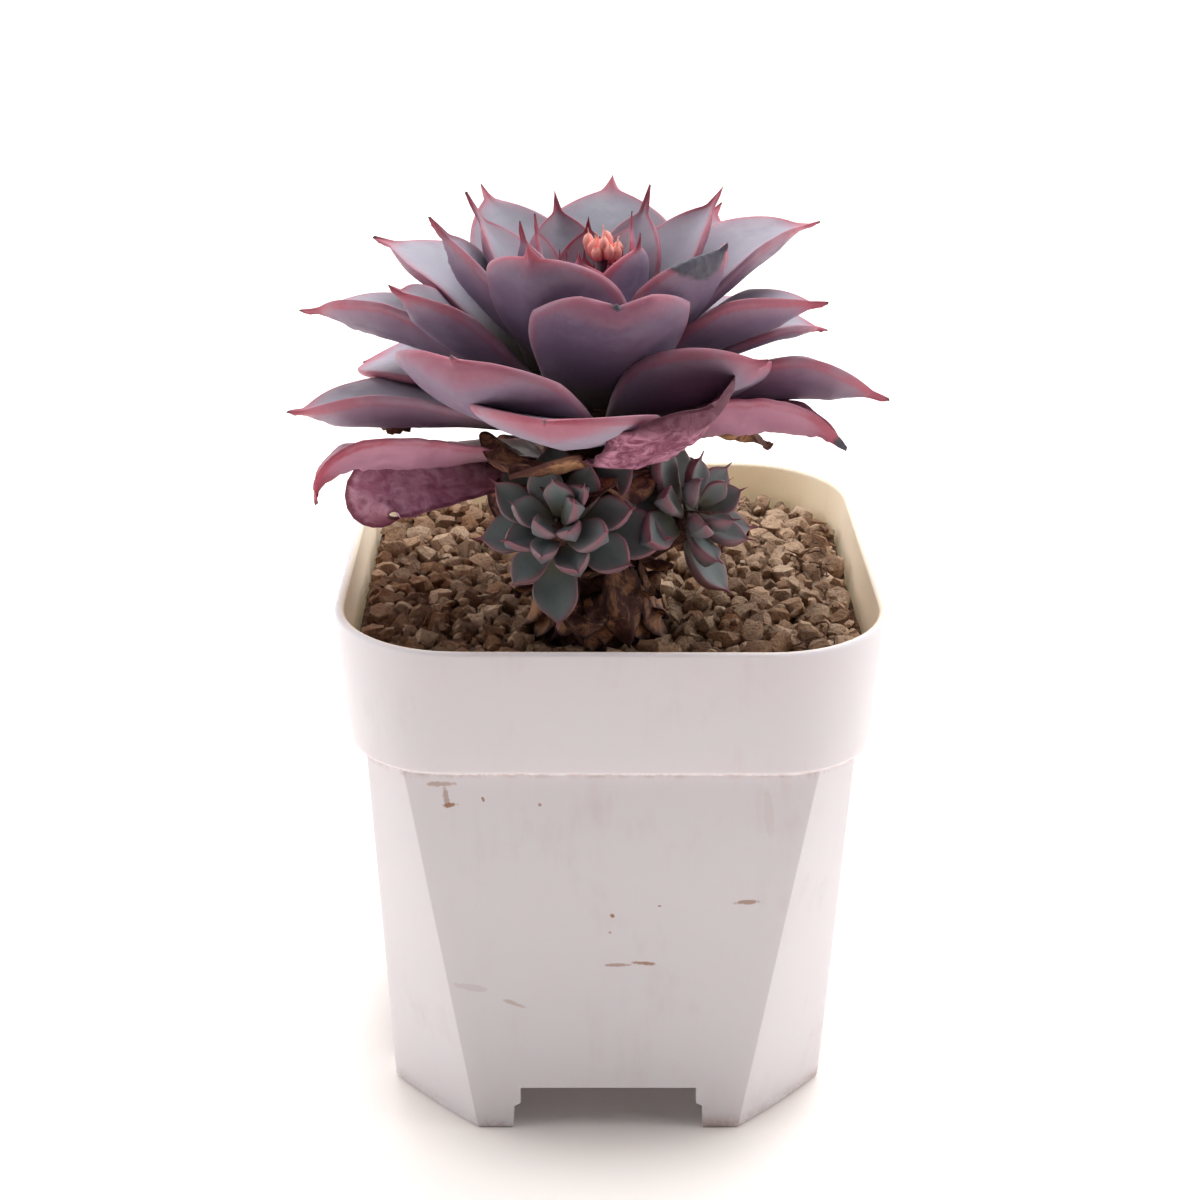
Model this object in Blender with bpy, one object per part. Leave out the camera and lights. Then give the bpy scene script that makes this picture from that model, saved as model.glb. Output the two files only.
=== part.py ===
"""A rosette succulent with two offsets, planted in grit in a square plastic pot.

Everything is worked out in millimetres and handed to Blender in metres, +Z up. The pot's own
centre line is x = y = 0 while the pieces are made, and the last step slides the whole object so
that its box is centred on the origin, with its feet on z = 0.
"""

import math

import bmesh
import bpy
from mathutils import Matrix, Vector, noise
from mathutils.bvhtree import BVHTree

MM = 0.001
GAP = 0.3  # clearance between pieces that rest on, or grow against, each other

# ---- pot -----------------------------------------------------------------------------------
POT_HEIGHT = 88.4
RIM_WIDTH = 85.0
RIM_CORNER = 19.4
COLLAR_HEIGHT = 21.1
COLLAR_FOOT_WIDTH = RIM_WIDTH - 3.6  # the collar leans in a little towards its foot
COLLAR_FOOT_CORNER = 15.8
BODY_TOP_WIDTH = COLLAR_FOOT_WIDTH - 6.1
BODY_TOP_CHAMFER = 6.1
BODY_FOOT_WIDTH = BODY_TOP_WIDTH - 3.7
BODY_FOOT_CHAMFER = 14.5
WALL = 1.5
LIP_ROUND = 0.5
FLOOR_THICK = 1.6
NOTCH_TOP_WIDTH = 28.6
NOTCH_FOOT_WIDTH = 31.2
NOTCH_HEIGHT = 8.1
DRAIN_RADIUS = 5.0

# ---- soil and stem -------------------------------------------------------------------------
SOIL_BELOW_RIM = 8.0
SOIL_ROUGHNESS = 1.3
SOIL_CELLS = 18
STEM_ROOT = (-2.2, -15.5)
STEM_DEPTH = 12.0
STEM_SIDES = 12
SOIL_LEVEL = POT_HEIGHT - SOIL_BELOW_RIM
COLLAR_FOOT = POT_HEIGHT - COLLAR_HEIGHT

# ---- rosette -------------------------------------------------------------------------------
CROWN_SCALE = 1.0  # 1 makes the whole rosette the size that the tables say
STEM_FOOT_RADIUS = 6.6 * CROWN_SCALE
BARE_STEM = 27.1  # from the grit up to the lowest living leaf's base
CROWN_AXIS = (-4.0, -8.0)  # where the rosette's axis stands, seen from above
CROWN_FOOT = SOIL_LEVEL + BARE_STEM
CROWN_HEIGHT = 19.5 * CROWN_SCALE  # from the lowest leaf's base to the growing point
DOME_START = 6.0 * CROWN_SCALE  # where, above the crown's foot, the stem starts to close over
DOME_HEIGHT = 14.0 * CROWN_SCALE
LEAF_BASE = 0.26  # width of a leaf's base, as a share of its widest
LEAF_WIDEST = 0.66  # where along its length a leaf is widest
SLIMMER = (1.0, 0.85, 0.7, 0.55)  # widths tried, in order, for a leaf that its neighbours crowd

# Each living leaf: name, azimuth in degrees, height of its base above the crown's foot, reach of
# its tip from the axis, height of its tip above the crown's foot, width, thickness, how far its
# centre line leaves and meets the chord in degrees (base, tip), cup, point length.
LEAVES = (
    ("leaf_front_heart", -80, 9.0, 25.5, 31.4, 21.5, 4.0, 10, 0, 0.26, 0.6),
    ("leaf_front_left", -122, 6.4, 36.0, 25.0, 27.0, 4.2, 26, -14, 0.28, 1.4),
    ("leaf_front_smile", -99, 3.0, 37.0, 18.4, 24.5, 3.8, 24, -18, 0.32, 1.0),
    ("leaf_front_right", -34, 4.6, 32.0, 20.2, 21.0, 3.8, 40, -26, 0.30, 1.6),
    ("leaf_inner_front", -113, 13.0, 21.5, 37.9, 20.5, 3.4, 4, 8, 0.28, 2.8),
    ("leaf_scarred", -30, 12.0, 23.5, 36.1, 18.0, 3.4, 4, 2, 0.30, 2.0),
    ("leaf_left_low", 187, 3.8, 46.0, 8.0, 17.0, 3.4, 22, -16, 0.24, 3.0),
    ("leaf_left_outer", 172, 8.8, 45.0, 20.4, 19.0, 3.6, 14, -24, 0.24, 4.0),
    ("leaf_left_mid", 200, 10.6, 31.0, 29.3, 17.0, 3.4, 6, -8, 0.32, 2.4),
    ("leaf_left_blunt", 160, 5.6, 41.0, 8.0, 19.0, 3.0, 30, -24, 0.08, 1.0),
    ("leaf_left_back", 153, 10.8, 38.0, 29.4, 18.5, 3.2, 10, -22, 0.20, 3.6),
    ("leaf_left_inner", 190, 13.6, 24.0, 37.2, 16.0, 3.0, 4, 0, 0.30, 4.0),
    ("leaf_back_left", 127, 13.0, 28.0, 37.2, 17.5, 2.8, 6, -4, 0.22, 3.0),
    ("leaf_left_high", 162, 15.0, 20.5, 38.8, 13.5, 2.6, 2, 0, 0.28, 5.0),
    ("leaf_right_low", -5, 3.4, 46.5, 9.4, 18.0, 3.2, 26, -38, 0.22, 3.4),
    ("leaf_right_outer", -10, 8.6, 37.0, 25.0, 18.0, 3.4, 34, -36, 0.26, 2.6),
    ("leaf_right_blunt", 13, 6.4, 39.0, 17.0, 17.0, 3.2, 28, -38, 0.20, 2.2),
    ("leaf_right_long", 17, 11.4, 38.8, 33.2, 16.0, 3.2, 20, -32, 0.26, 3.6),
    ("leaf_right_inner", 27, 14.4, 24.0, 39.2, 15.0, 2.6, 2, 2, 0.30, 3.6),
    ("leaf_back_tall", 82, 12.4, 29.0, 38.8, 21.0, 3.2, 6, -2, 0.24, 3.0),
    ("leaf_back_right", 49, 11.4, 30.5, 36.8, 16.0, 2.8, 4, -6, 0.22, 2.6),
    ("leaf_back_inner", 108, 15.8, 16.0, 37.8, 12.0, 2.4, 4, 4, 0.30, 3.4),
    ("leaf_back_high", 48, 15.6, 14.4, 39.8, 12.0, 2.4, 2, 4, 0.30, 4.4),
    ("leaf_right_dying", -20, 1.0, 39.5, 10.8, 15.5, 2.4, 20, -22, 0.24, 1.6),
    ("leaf_left_curled", 200, 0.6, 45.0, 4.6, 16.0, 2.4, 2, 2, 0.22, 1.6),
    ("leaf_core_right", -28, 17.0, 8.8, 35.8, 10.0, 2.2, 4, 6, 0.34, 3.0),
    ("leaf_core_left", -158, 16.8, 10.6, 37.4, 11.0, 2.0, 4, 6, 0.34, 3.4),
    ("leaf_core_spike", 168, 17.6, 11.0, 36.4, 7.0, 1.6, 2, 4, 0.34, 3.4),
    ("leaf_core_front", -100, 18.0, 6.4, 33.6, 6.5, 1.8, 4, 6, 0.34, 2.4),
    ("leaf_core_back", 88, 17.4, 8.0, 35.4, 7.0, 1.8, 4, 6, 0.34, 2.6),
    ("leaf_core_far", 24, 17.4, 8.4, 37.2, 7.0, 1.8, 4, 6, 0.34, 3.0),
    ("leaf_back_rounded", 62, 8.8, 37.0, 25.2, 18.0, 3.4, 12, -18, 0.22, 1.4),
    ("leaf_back_round_right", 36, 6.0, 41.0, 19.0, 17.5, 3.0, 16, -18, 0.20, 1.6),
    ("leaf_back_mid", 102, 9.0, 35.0, 27.0, 19.0, 3.2, 10, -12, 0.22, 2.4),
    ("leaf_back_low_left", 134, 6.6, 40.0, 17.0, 19.0, 3.2, 14, -14, 0.22, 2.0),
    ("leaf_back_low", 108, 4.0, 39.0, 13.0, 19.0, 3.2, 16, -14, 0.22, 2.0),
    ("leaf_back_low_right", 74, 4.0, 39.0, 12.6, 19.0, 3.2, 16, -14, 0.22, 2.0),
)

# Each withered leaf: as above. They hang, so their tips lie below where living ones would.
WITHERED = (
    ("withered_front", -54, 1.0, 37.0, 18.0, 19.0, 2.0, -16, 14, 0.44, 1.0),
    ("withered_left", 206, -1.4, 40.0, -1.0, 15.0, 1.8, 24, -36, 0.46, 1.0),
    ("withered_hanging", 2, -0.6, 29.0, 0.2, 9.0, 1.4, 24, -44, 0.40, 1.0),
    ("withered_husk", -124, -1.0, 22.0, 3.0, 13.0, 1.2, 16, -14, 0.36, 0.6),
)

# Each offset: name, its foot as (x, y, z) from the middle of the crown's foot, direction that it
# faces (azimuth, elevation), radius of its rosette, number of leaves, and the turn of its first.
OFFSETS = (
    ("pup_front", (-3.2, -14.0, -9.5), (-102, 30), 14.5, 6, 20),
    ("pup_right", (13.6, -7.6, -10.0), (-36, 24), 13.5, 6, 60),
)
# Shares of the offset's radius.
PUP_HEART_RADIUS = 0.36
PUP_HEART_HEIGHT = 0.80
PUP_LEAF_WIDTH = 0.76
PUP_LEAF_FOOT = 0.166  # how far from its axis a leaf starts
PUP_LEAF_LIFT = (0.06, 0.26)  # where the first and last leaves start, along its axis
PUP_LEAF_REACH = (1.0, 0.82)  # of the first and last leaves
PUP_LEAF_RISE = (0.16, 0.58)
PUP_LEAF_THICK = 2.0
PUP_LEAF_SWEEP = (6, 4)
PUP_LEAF_CUP = 0.30
PUP_LEAF_POINT = 1.2
GOLDEN_TURN = 137.5

# The bud cluster's and the pebble's places are from the middle of the crown's foot.
BUDS_STALK = (1.4, -0.6)
BUDS_RISE = 34.5
BUDS_RADIUS = 2.9
LOBES = 5
LOBE_DEPTH = 0.10
LOBE_TWIST = 0.35  # radians from one ring to the next
LOBED_SIDES = 15

PEBBLE_PLACE = (-29.4, -3.4, 1.5)
PEBBLE_RADIUS = 1.6
PEBBLE_STEP = 0.2


# ---- materials -----------------------------------------------------------------------------
def material(name, colour, roughness, metallic=0.0):
    made = bpy.data.materials.new(name)
    made.use_nodes = True
    shader = made.node_tree.nodes["Principled BSDF"]
    shader.inputs["Base Color"].default_value = (*colour, 1.0)
    shader.inputs["Roughness"].default_value = roughness
    shader.inputs["Metallic"].default_value = metallic
    made.diffuse_color = (*colour, 1.0)
    return made


def add_object(name, mesh, look):
    made = bpy.data.objects.new(name, mesh)
    made.data.materials.append(look)
    bpy.context.scene.collection.objects.link(made)
    return made


# ---- lofting -------------------------------------------------------------------------------
def loft(name, rings, tip=None, sharp=math.radians(40)):
    """A closed skin through rings of equal count, each extruded from the last; caps are poked."""
    bm = bmesh.new()
    first = bmesh.ops.create_circle(bm, cap_ends=False, radius=1.0, segments=len(rings[0]))["verts"]
    bm.verts.ensure_lookup_table()
    foot = list(first)
    place(foot, rings[0])
    loop = foot
    for ring in rings[1:]:
        edges = [edge_between(loop[i - 1], loop[i]) for i in range(len(loop))]
        raised = bmesh.ops.extrude_edge_only(bm, edges=edges)["geom"]
        fresh = [v for v in raised if isinstance(v, bmesh.types.BMVert)]
        loop = match_loop(loop, fresh)
        place(loop, ring)
    bm.faces.new(list(reversed(foot)))
    lid = bm.faces.new(loop)
    if tip is not None:
        point = bmesh.ops.poke(bm, faces=[lid])["verts"][0]
        point.co = Vector(tip) * MM
    bmesh.ops.recalc_face_normals(bm, faces=bm.faces)
    if bm.calc_volume(signed=True) < 0:
        bmesh.ops.reverse_faces(bm, faces=bm.faces)
    bmesh.ops.triangulate(bm, faces=[f for f in bm.faces if len(f.verts) > 4])
    mesh = bpy.data.meshes.new(name)
    bm.to_mesh(mesh)
    bm.free()
    mesh.shade_smooth()
    mesh.set_sharp_from_angle(angle=sharp)
    return mesh


def place(verts, ring):
    for vert, point in zip(verts, ring):
        vert.co = Vector(point) * MM


def edge_between(a, b):
    return next(e for e in a.link_edges if e.other_vert(a) == b)


def match_loop(old, fresh):
    """The new verts in the order of the loop that they were extruded from."""
    fresh = set(fresh)
    return [next(e.other_vert(v) for e in v.link_edges if e.other_vert(v) in fresh) for v in old]


# ---- pot -----------------------------------------------------------------------------------
CORNER_STEPS = 6


def square_outline(width, corner, bulge, height):
    """A square with its corners cut; bulge 0 leaves flat chamfers and 1 makes them round."""
    half = width / 2
    inner = half - corner
    points = []
    for quarter in range(4):
        turn = Matrix.Rotation(quarter * math.pi / 2, 2)
        for step in range(CORNER_STEPS + 1):
            share = step / CORNER_STEPS
            angle = share * math.pi / 2
            arc = Vector((inner + corner * math.cos(angle), inner + corner * math.sin(angle)))
            flat = Vector((half - corner * share, inner + corner * share))
            x, y = turn @ flat.lerp(arc, bulge)
            points.append((x, y, height))
    return points


def body_at(height, inset=0.0):
    """The outline of the body's outer skin, or one set in from it, at a height below the collar."""
    share = height / COLLAR_FOOT
    width = BODY_FOOT_WIDTH + (BODY_TOP_WIDTH - BODY_FOOT_WIDTH) * share
    chamfer = BODY_FOOT_CHAMFER + (BODY_TOP_CHAMFER - BODY_FOOT_CHAMFER) * share
    return square_outline(width - 2 * inset, chamfer - 0.59 * inset, 0.12, height)


def collar_at(height, inset=0.0):
    share = (height - COLLAR_FOOT) / COLLAR_HEIGHT
    width = COLLAR_FOOT_WIDTH + (RIM_WIDTH - COLLAR_FOOT_WIDTH) * share
    corner = COLLAR_FOOT_CORNER + (RIM_CORNER - COLLAR_FOOT_CORNER) * share
    return square_outline(width - 2 * inset, corner - inset, 1.0, height)


def make_pot(look):
    shelf = COLLAR_FOOT
    rings = [
        body_at(0.0, 0.4),
        body_at(0.5),
        body_at(shelf * 0.5),
        body_at(shelf - 0.6),
        body_at(shelf, 0.1),
        collar_at(shelf + 0.1, 0.8),
        collar_at(shelf + 0.8),
        collar_at(POT_HEIGHT - LIP_ROUND),
        collar_at(POT_HEIGHT, LIP_ROUND),
        collar_at(POT_HEIGHT, WALL - LIP_ROUND),
        collar_at(POT_HEIGHT - LIP_ROUND, WALL),
        collar_at(shelf + 2.4, WALL),
        body_at(shelf - 0.4, WALL),
        body_at(NOTCH_HEIGHT + FLOOR_THICK, WALL),
    ]
    pot = add_object("pot", loft("pot", rings, sharp=math.radians(28)), look)
    cut(pot, under_floor_cutter(), "underside")
    for quarter in range(4):
        cut(pot, notch_cutter(quarter), f"notch_{quarter}")
    cut(pot, drain_cutter(), "drain")
    return pot


def under_floor_cutter():
    """The hollow under the raised floor, inside the skirt that the feet are cut from."""
    rings = [body_at(-1.0, WALL), body_at(NOTCH_HEIGHT, WALL)]
    return loft("cutter_underside", rings)


def notch_cutter(quarter):
    """The opening between two feet: wider at the floor, with a small step half-way up."""
    out = RIM_WIDTH
    step = NOTCH_HEIGHT * 0.55
    half_top, half_foot = NOTCH_TOP_WIDTH / 2, NOTCH_FOOT_WIDTH / 2
    profile = (
        (-half_foot, -1.0),
        (half_foot, -1.0),
        (half_foot - 0.3, step),
        (half_top, step + 0.6),
        (half_top, NOTCH_HEIGHT),
        (-half_top, NOTCH_HEIGHT),
        (-half_top, step + 0.6),
        (-half_foot + 0.3, step),
    )
    turn = Matrix.Rotation(quarter * math.pi / 2, 3, "Z")
    near = BODY_FOOT_WIDTH / 2 - WALL - 2.0
    rings = [[turn @ Vector((x, -y, z)) for x, z in profile] for y in (near, out)]
    return loft(f"cutter_notch_{quarter}", rings)


def drain_cutter():
    rings = [
        [(DRAIN_RADIUS * math.cos(a), DRAIN_RADIUS * math.sin(a), z) for a in turns(16)]
        for z in (NOTCH_HEIGHT - 2.0, NOTCH_HEIGHT + FLOOR_THICK + 2.0)
    ]
    return loft("cutter_drain", rings)


def turns(count, first=0.0):
    return [math.radians(first) + 2 * math.pi * i / count for i in range(count)]


def cut(target, cutter_mesh, name):
    cutter = bpy.data.objects.new(cutter_mesh.name, cutter_mesh)
    bpy.context.scene.collection.objects.link(cutter)
    cutter.hide_render = True
    cutter.display_type = "WIRE"
    modifier = target.modifiers.new(name, "BOOLEAN")
    modifier.operation = "DIFFERENCE"
    modifier.solver = "EXACT"
    modifier.object = cutter


# ---- soil ----------------------------------------------------------------------------------
def soil_height(x, y):
    """Lumpy grit that sinks a little towards the stem."""
    from_stem = math.hypot(x - STEM_ROOT[0], y - STEM_ROOT[1])
    lumps = noise.noise(Vector((x * 0.15, y * 0.15, 4.0)))
    lumps += 0.5 * noise.noise(Vector((x * 0.33, y * 0.33, 9.0)))
    dip = 3.0 * math.exp(-((from_stem / 12.0) ** 2))
    return SOIL_LEVEL - dip + SOIL_ROUGHNESS * lumps


def make_soil(look):
    """A block of grit that fills the pot, with a lumpy top."""
    inset = WALL + 2 * GAP
    floor = NOTCH_HEIGHT + FLOOR_THICK + GAP
    rings = [
        body_at(floor, inset),
        body_at(COLLAR_FOOT - 0.4, inset),
        collar_at(COLLAR_FOOT + 2.4, inset),
        collar_at(SOIL_LEVEL - 2.6, inset),
    ]
    bm = bmesh.new()
    block = loft("soil_block", rings)
    bm.from_mesh(block)
    bpy.data.meshes.remove(block)
    lid = [f for f in bm.faces if all(abs(v.co.z - (SOIL_LEVEL - 2.6) * MM) < 1e-6 for v in f.verts)]
    bmesh.ops.dissolve_faces(bm, faces=lid)
    lid = [f for f in bm.faces if all(abs(v.co.z - (SOIL_LEVEL - 2.6) * MM) < 1e-6 for v in f.verts)]
    raised = bmesh.ops.extrude_face_region(bm, geom=lid)["geom"]
    top = [v for v in raised if isinstance(v, bmesh.types.BMVert)]
    for vert in top:
        vert.co.z = SOIL_LEVEL * MM
    bmesh.ops.delete(bm, geom=lid, context="FACES_ONLY")
    top_faces = [f for f in bm.faces if all(abs(v.co.z - SOIL_LEVEL * MM) < 1e-7 for v in f.verts)]
    slice_grid(bm, top_faces)
    for vert in bm.verts:
        if vert.co.z > (SOIL_LEVEL - 0.01) * MM:
            vert.co.z = soil_height(vert.co.x / MM, vert.co.y / MM) * MM
    bmesh.ops.triangulate(bm, faces=bm.faces)
    bmesh.ops.recalc_face_normals(bm, faces=bm.faces)
    mesh = bpy.data.meshes.new("soil")
    bm.to_mesh(mesh)
    bm.free()
    mesh.shade_flat()
    soil = add_object("soil", mesh, look)
    cut(soil, stem_mesh("cutter_stem", GAP), "stem_hole")
    return soil


def slice_grid(bm, faces):
    """Cuts the level top into cells, so that it can be lumpy."""
    geometry = list({v for f in faces for v in f.verts} | {e for f in faces for e in f.edges} | set(faces))
    span = RIM_WIDTH
    for axis in (Vector((1, 0, 0)), Vector((0, 1, 0))):
        for i in range(1, SOIL_CELLS):
            offset = (-span / 2 + span * i / SOIL_CELLS) * MM
            done = bmesh.ops.bisect_plane(bm, geom=geometry, plane_co=axis * offset, plane_no=axis)
            geometry = [g for g in done["geom"]]


# ---- stem ----------------------------------------------------------------------------------
def stem_axis(height):
    """The stem leans back from where it is planted to the rosette's axis."""
    share = min(max((height - SOIL_LEVEL) / (CROWN_FOOT - SOIL_LEVEL), 0.0), 1.0)
    ease = share * share * (3 - 2 * share)
    root, crown = Vector(STEM_ROOT), Vector(CROWN_AXIS)
    return root.lerp(crown, ease)


def stem_radius(height):
    """Tapers a little below ground, keeps its width to the crown, and closes over as a dome."""
    if height < SOIL_LEVEL:
        return STEM_FOOT_RADIUS * (1.0 - 0.25 * (SOIL_LEVEL - height) / STEM_DEPTH)
    past = max(height - CROWN_FOOT - DOME_START, 0.0) / DOME_HEIGHT
    return STEM_FOOT_RADIUS * math.sqrt(1.0 - min(past, 0.97) ** 2)


def stem_mesh(name, grow=0.0):
    levels = [SOIL_LEVEL - share * STEM_DEPTH for share in (1.0, 0.33, 0.0)]
    levels += [SOIL_LEVEL + share * BARE_STEM for share in (0.18, 0.41, 0.63, 0.85)]
    levels += [CROWN_FOOT + share * CROWN_HEIGHT for share in (0.10, 0.41, 0.67, 0.87, 1.0)]
    rings = []
    for level in levels:
        centre, radius = stem_axis(level), stem_radius(level) + grow
        scars = 0.0 if grow else 0.05
        ring = []
        for i, angle in enumerate(turns(STEM_SIDES)):
            reach = radius * (1.0 - scars * (i % 2))
            ring.append((centre.x + reach * math.cos(angle), centre.y + reach * math.sin(angle), level))
        rings.append(ring)
    if grow:
        rings[0] = [(x, y, z - grow) for x, y, z in rings[0]]
    return loft(name, rings)


# ---- leaves --------------------------------------------------------------------------------
STATIONS = (0.0, 0.16, 0.36, 0.54, 0.70, 0.83, 0.93, 1.0)
# One turn round a leaf's section: across (-1 to 1) and whether the point is on the upper face.
SECTION = ((-1, 0), (-0.55, -1), (0, -1), (0.55, -1), (1, 0), (0.5, 1), (0, 1), (-0.5, 1))


def blade_width(share):
    """Half-width along a leaf, as a share of its widest."""
    if share <= LEAF_WIDEST:
        return LEAF_BASE + (1 - LEAF_BASE) * math.sin(math.pi / 2 * share / LEAF_WIDEST) ** 1.2
    past = (share - LEAF_WIDEST) / (1 - LEAF_WIDEST)
    return 0.10 + 0.90 * (1 - past**2.1) ** 0.62


def blade_thickness(share):
    return 0.26 + 0.74 * math.sin(math.pi * min(share * 0.86, 1.0)) ** 1.1


def centre_line(start, end, leave, meet, share):
    """A point and a slope on the curve from start to end in the leaf's upright plane."""
    chord = Vector(end) - Vector(start)
    slope = math.atan2(chord.y, chord.x)
    pull = chord.length * 0.36
    a, b = slope + math.radians(leave), slope + math.radians(meet)
    p0, p3 = Vector(start), Vector(end)
    p1 = p0 + pull * Vector((math.cos(a), math.sin(a)))
    p2 = p3 - pull * Vector((math.cos(b), math.sin(b)))
    t, u = share, 1 - share
    point = u**3 * p0 + 3 * u * u * t * p1 + 3 * u * t * t * p2 + t**3 * p3
    tangent = 3 * u * u * (p1 - p0) + 6 * u * t * (p2 - p1) + 3 * t * t * (p3 - p2)
    return point, tangent.normalized()


def leaf_rings(start, end, width, thick, leave, meet, cup, point, grow=0.0):
    """Rings of a leaf that points along +X from its base, and the end of its point."""
    rings = []
    for share in STATIONS:
        place_at, along = centre_line(start, end, leave, meet, share)
        up = Vector((-along.y, along.x))
        half = width / 2 * blade_width(share) + grow
        deep = thick * blade_thickness(share) * min(1.0, 0.25 + half / (width / 2)) + 2 * grow
        ring = []
        for across, side in SECTION:
            lift = cup * half * abs(across) ** 1.7 * min(1.0, 0.3 + share)
            belly = deep * (1 - abs(across) ** 2)
            offset = lift - 0.80 * belly if side < 0 else lift + (0.20 * belly if side > 0 else 0.0)
            spot = place_at + up * offset
            ring.append((spot.x, across * half, spot.y))
        rings.append(ring)
    last, along = centre_line(start, end, leave, meet, 1.0)
    tip = last + along * (point + grow)
    return rings, (tip.x, 0.0, tip.y)


def leaf_skin(start, shape, grow=0.0):
    """Rings and tip of a leaf whose point ends at the given reach and rise."""
    reach, rise, width, thick, leave, meet, cup, point = shape
    chord = Vector((reach, rise)) - Vector(start)
    slope = math.atan2(chord.y, chord.x) + math.radians(meet)
    end = Vector((reach, rise)) - point * Vector((math.cos(slope), math.sin(slope)))
    return leaf_rings(start, end, width, thick, leave, meet, cup, point, grow)


def shell_of(rings, tip, world):
    """The skin through rings, placed in the world, as a tree that answers what it touches."""
    points = [world @ (Vector(p) * MM) for ring in rings for p in ring] + [world @ (Vector(tip) * MM)]
    count = len(rings[0])
    faces = []
    for level in range(len(rings) - 1):
        for i in range(count):
            j = (i + 1) % count
            low, high = level * count, (level + 1) * count
            faces.append((low + i, low + j, high + j, high + i))
    last = (len(rings) - 1) * count
    faces += [(last + i, last + (i + 1) % count, len(points) - 1) for i in range(count)]
    faces.append(tuple(range(count)))
    return Shell(points, BVHTree.FromPolygons(points, faces))


class Shell:
    """A piece's tree with its box, so that pieces far from each other are passed over quickly."""

    def __init__(self, points, tree):
        self.low = [min(p[k] for p in points) for k in range(3)]
        self.high = [max(p[k] for p in points) for k in range(3)]
        self.tree = tree

    def touches(self, other):
        apart = any(self.low[k] > other.high[k] or other.low[k] > self.high[k] for k in range(3))
        return not apart and bool(self.tree.overlap(other.tree))


def shell_of_mesh(mesh, world):
    points = [world @ v.co for v in mesh.vertices]
    return Shell(points, BVHTree.FromPolygons(points, [tuple(p.vertices) for p in mesh.polygons]))


def nudges():
    """Small changes of pitch, base height and azimuth, the smallest first."""
    tried = []
    for pitch in range(-12, 13):
        for lift in range(-6, 7):
            for turn in range(-5, 6):
                cost = abs(pitch) + 0.7 * abs(lift) + 1.2 * abs(turn)
                tried.append((cost, pitch, lift, turn))
    return [(p * 1.0, s * 0.4, t * 2.5) for _, p, s, t in sorted(tried)]


NUDGES = nudges()


def settle(name, look, placed, frame, base, azimuth, shape, foot_radius):
    """Adds a leaf where it touches no other, moved by the smallest nudge that clears them."""
    for slim in SLIMMER:
        slimmed = (*shape[:2], shape[2] * slim, *shape[3:])
        for pitch, lift, turn in NUDGES:
            start = (foot_radius, base + lift)
            arm = Vector((shape[0] - foot_radius, shape[1] - base - lift))
            arm.rotate(Matrix.Rotation(math.radians(-pitch), 2))
            moved = (start[0] + arm.x, start[1] + arm.y, *slimmed[2:])
            world = frame @ Matrix.Rotation(math.radians(azimuth + turn), 4, "Z")
            trial = shell_of(*leaf_skin(start, moved, GAP / 2), world)
            if any(trial.touches(other) for other in placed.values()):
                continue
            rings, tip = leaf_skin(start, moved)
            leaf = add_object(name, loft(name, rings, tip=tip, sharp=math.radians(60)), look)
            leaf.matrix_world = world
            placed[name] = shell_of(rings, tip, world)
            return leaf
    raise ValueError(f"{name} finds no room")


# ---- offsets, buds and pebble --------------------------------------------------------------
def facing(place, azimuth, elevation):
    """A frame at a place whose +Z looks along the given direction."""
    turn = Matrix.Rotation(math.radians(azimuth), 4, "Z")
    lean = Matrix.Rotation(math.radians(90 - elevation), 4, "Y")
    return Matrix.Translation(Vector(place) * MM) @ turn @ lean


def from_crown(place_at):
    """A place given from the middle of the crown's foot, in the pot's frame."""
    x, y, z = (CROWN_SCALE * length for length in place_at)
    return CROWN_AXIS[0] + x, CROWN_AXIS[1] + y, CROWN_FOOT + z


def lobed_rings(profile):
    """Rings about +Z from (height, radius) pairs, waved so that they read as folded leaves."""
    rings = []
    for level, (height, radius) in enumerate(profile):
        ring = []
        for angle in turns(LOBED_SIDES):
            reach = radius * (1 + LOBE_DEPTH * math.cos(LOBES * (angle + level * LOBE_TWIST)))
            ring.append((reach * math.cos(angle), reach * math.sin(angle), height))
        rings.append(ring)
    return rings


def heart_profile(radius):
    wide, tall = radius * PUP_HEART_RADIUS, radius * PUP_HEART_HEIGHT
    shares = ((0.0, 0.40), (0.22, 0.46), (0.42, 0.80), (0.60, 0.96), (0.78, 0.78), (0.92, 0.40))
    return [(tall * h, wide * r) for h, r in shares], (0.0, 0.0, tall)


def between(ends, share):
    return ends[0] + (ends[1] - ends[0]) * share


def make_offset(offset, look, placed):
    name, foot, (azimuth, elevation), radius, count, first = offset
    radius *= CROWN_SCALE
    frame = facing(from_crown(foot), azimuth, elevation)
    profile, tip = heart_profile(radius)
    rings = lobed_rings(profile)
    heart = add_object(f"{name}_heart", loft(f"{name}_heart", rings, tip=tip), look)
    heart.matrix_world = frame
    placed[heart.name] = shell_of(rings, tip, frame)
    for i in range(count):
        share = i / (count - 1)
        base = radius * between(PUP_LEAF_LIFT, share)
        reach = radius * between(PUP_LEAF_REACH, share)
        rise = radius * between(PUP_LEAF_RISE, share)
        width = radius * PUP_LEAF_WIDTH
        shape = (reach, rise, width, PUP_LEAF_THICK, *PUP_LEAF_SWEEP, PUP_LEAF_CUP, PUP_LEAF_POINT)
        foot_radius = radius * PUP_LEAF_FOOT + 2 * GAP
        azimuth = first + i * GOLDEN_TURN
        settle(f"{name}_leaf_{i + 1}", look, placed, frame, base, azimuth, shape, foot_radius)


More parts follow.
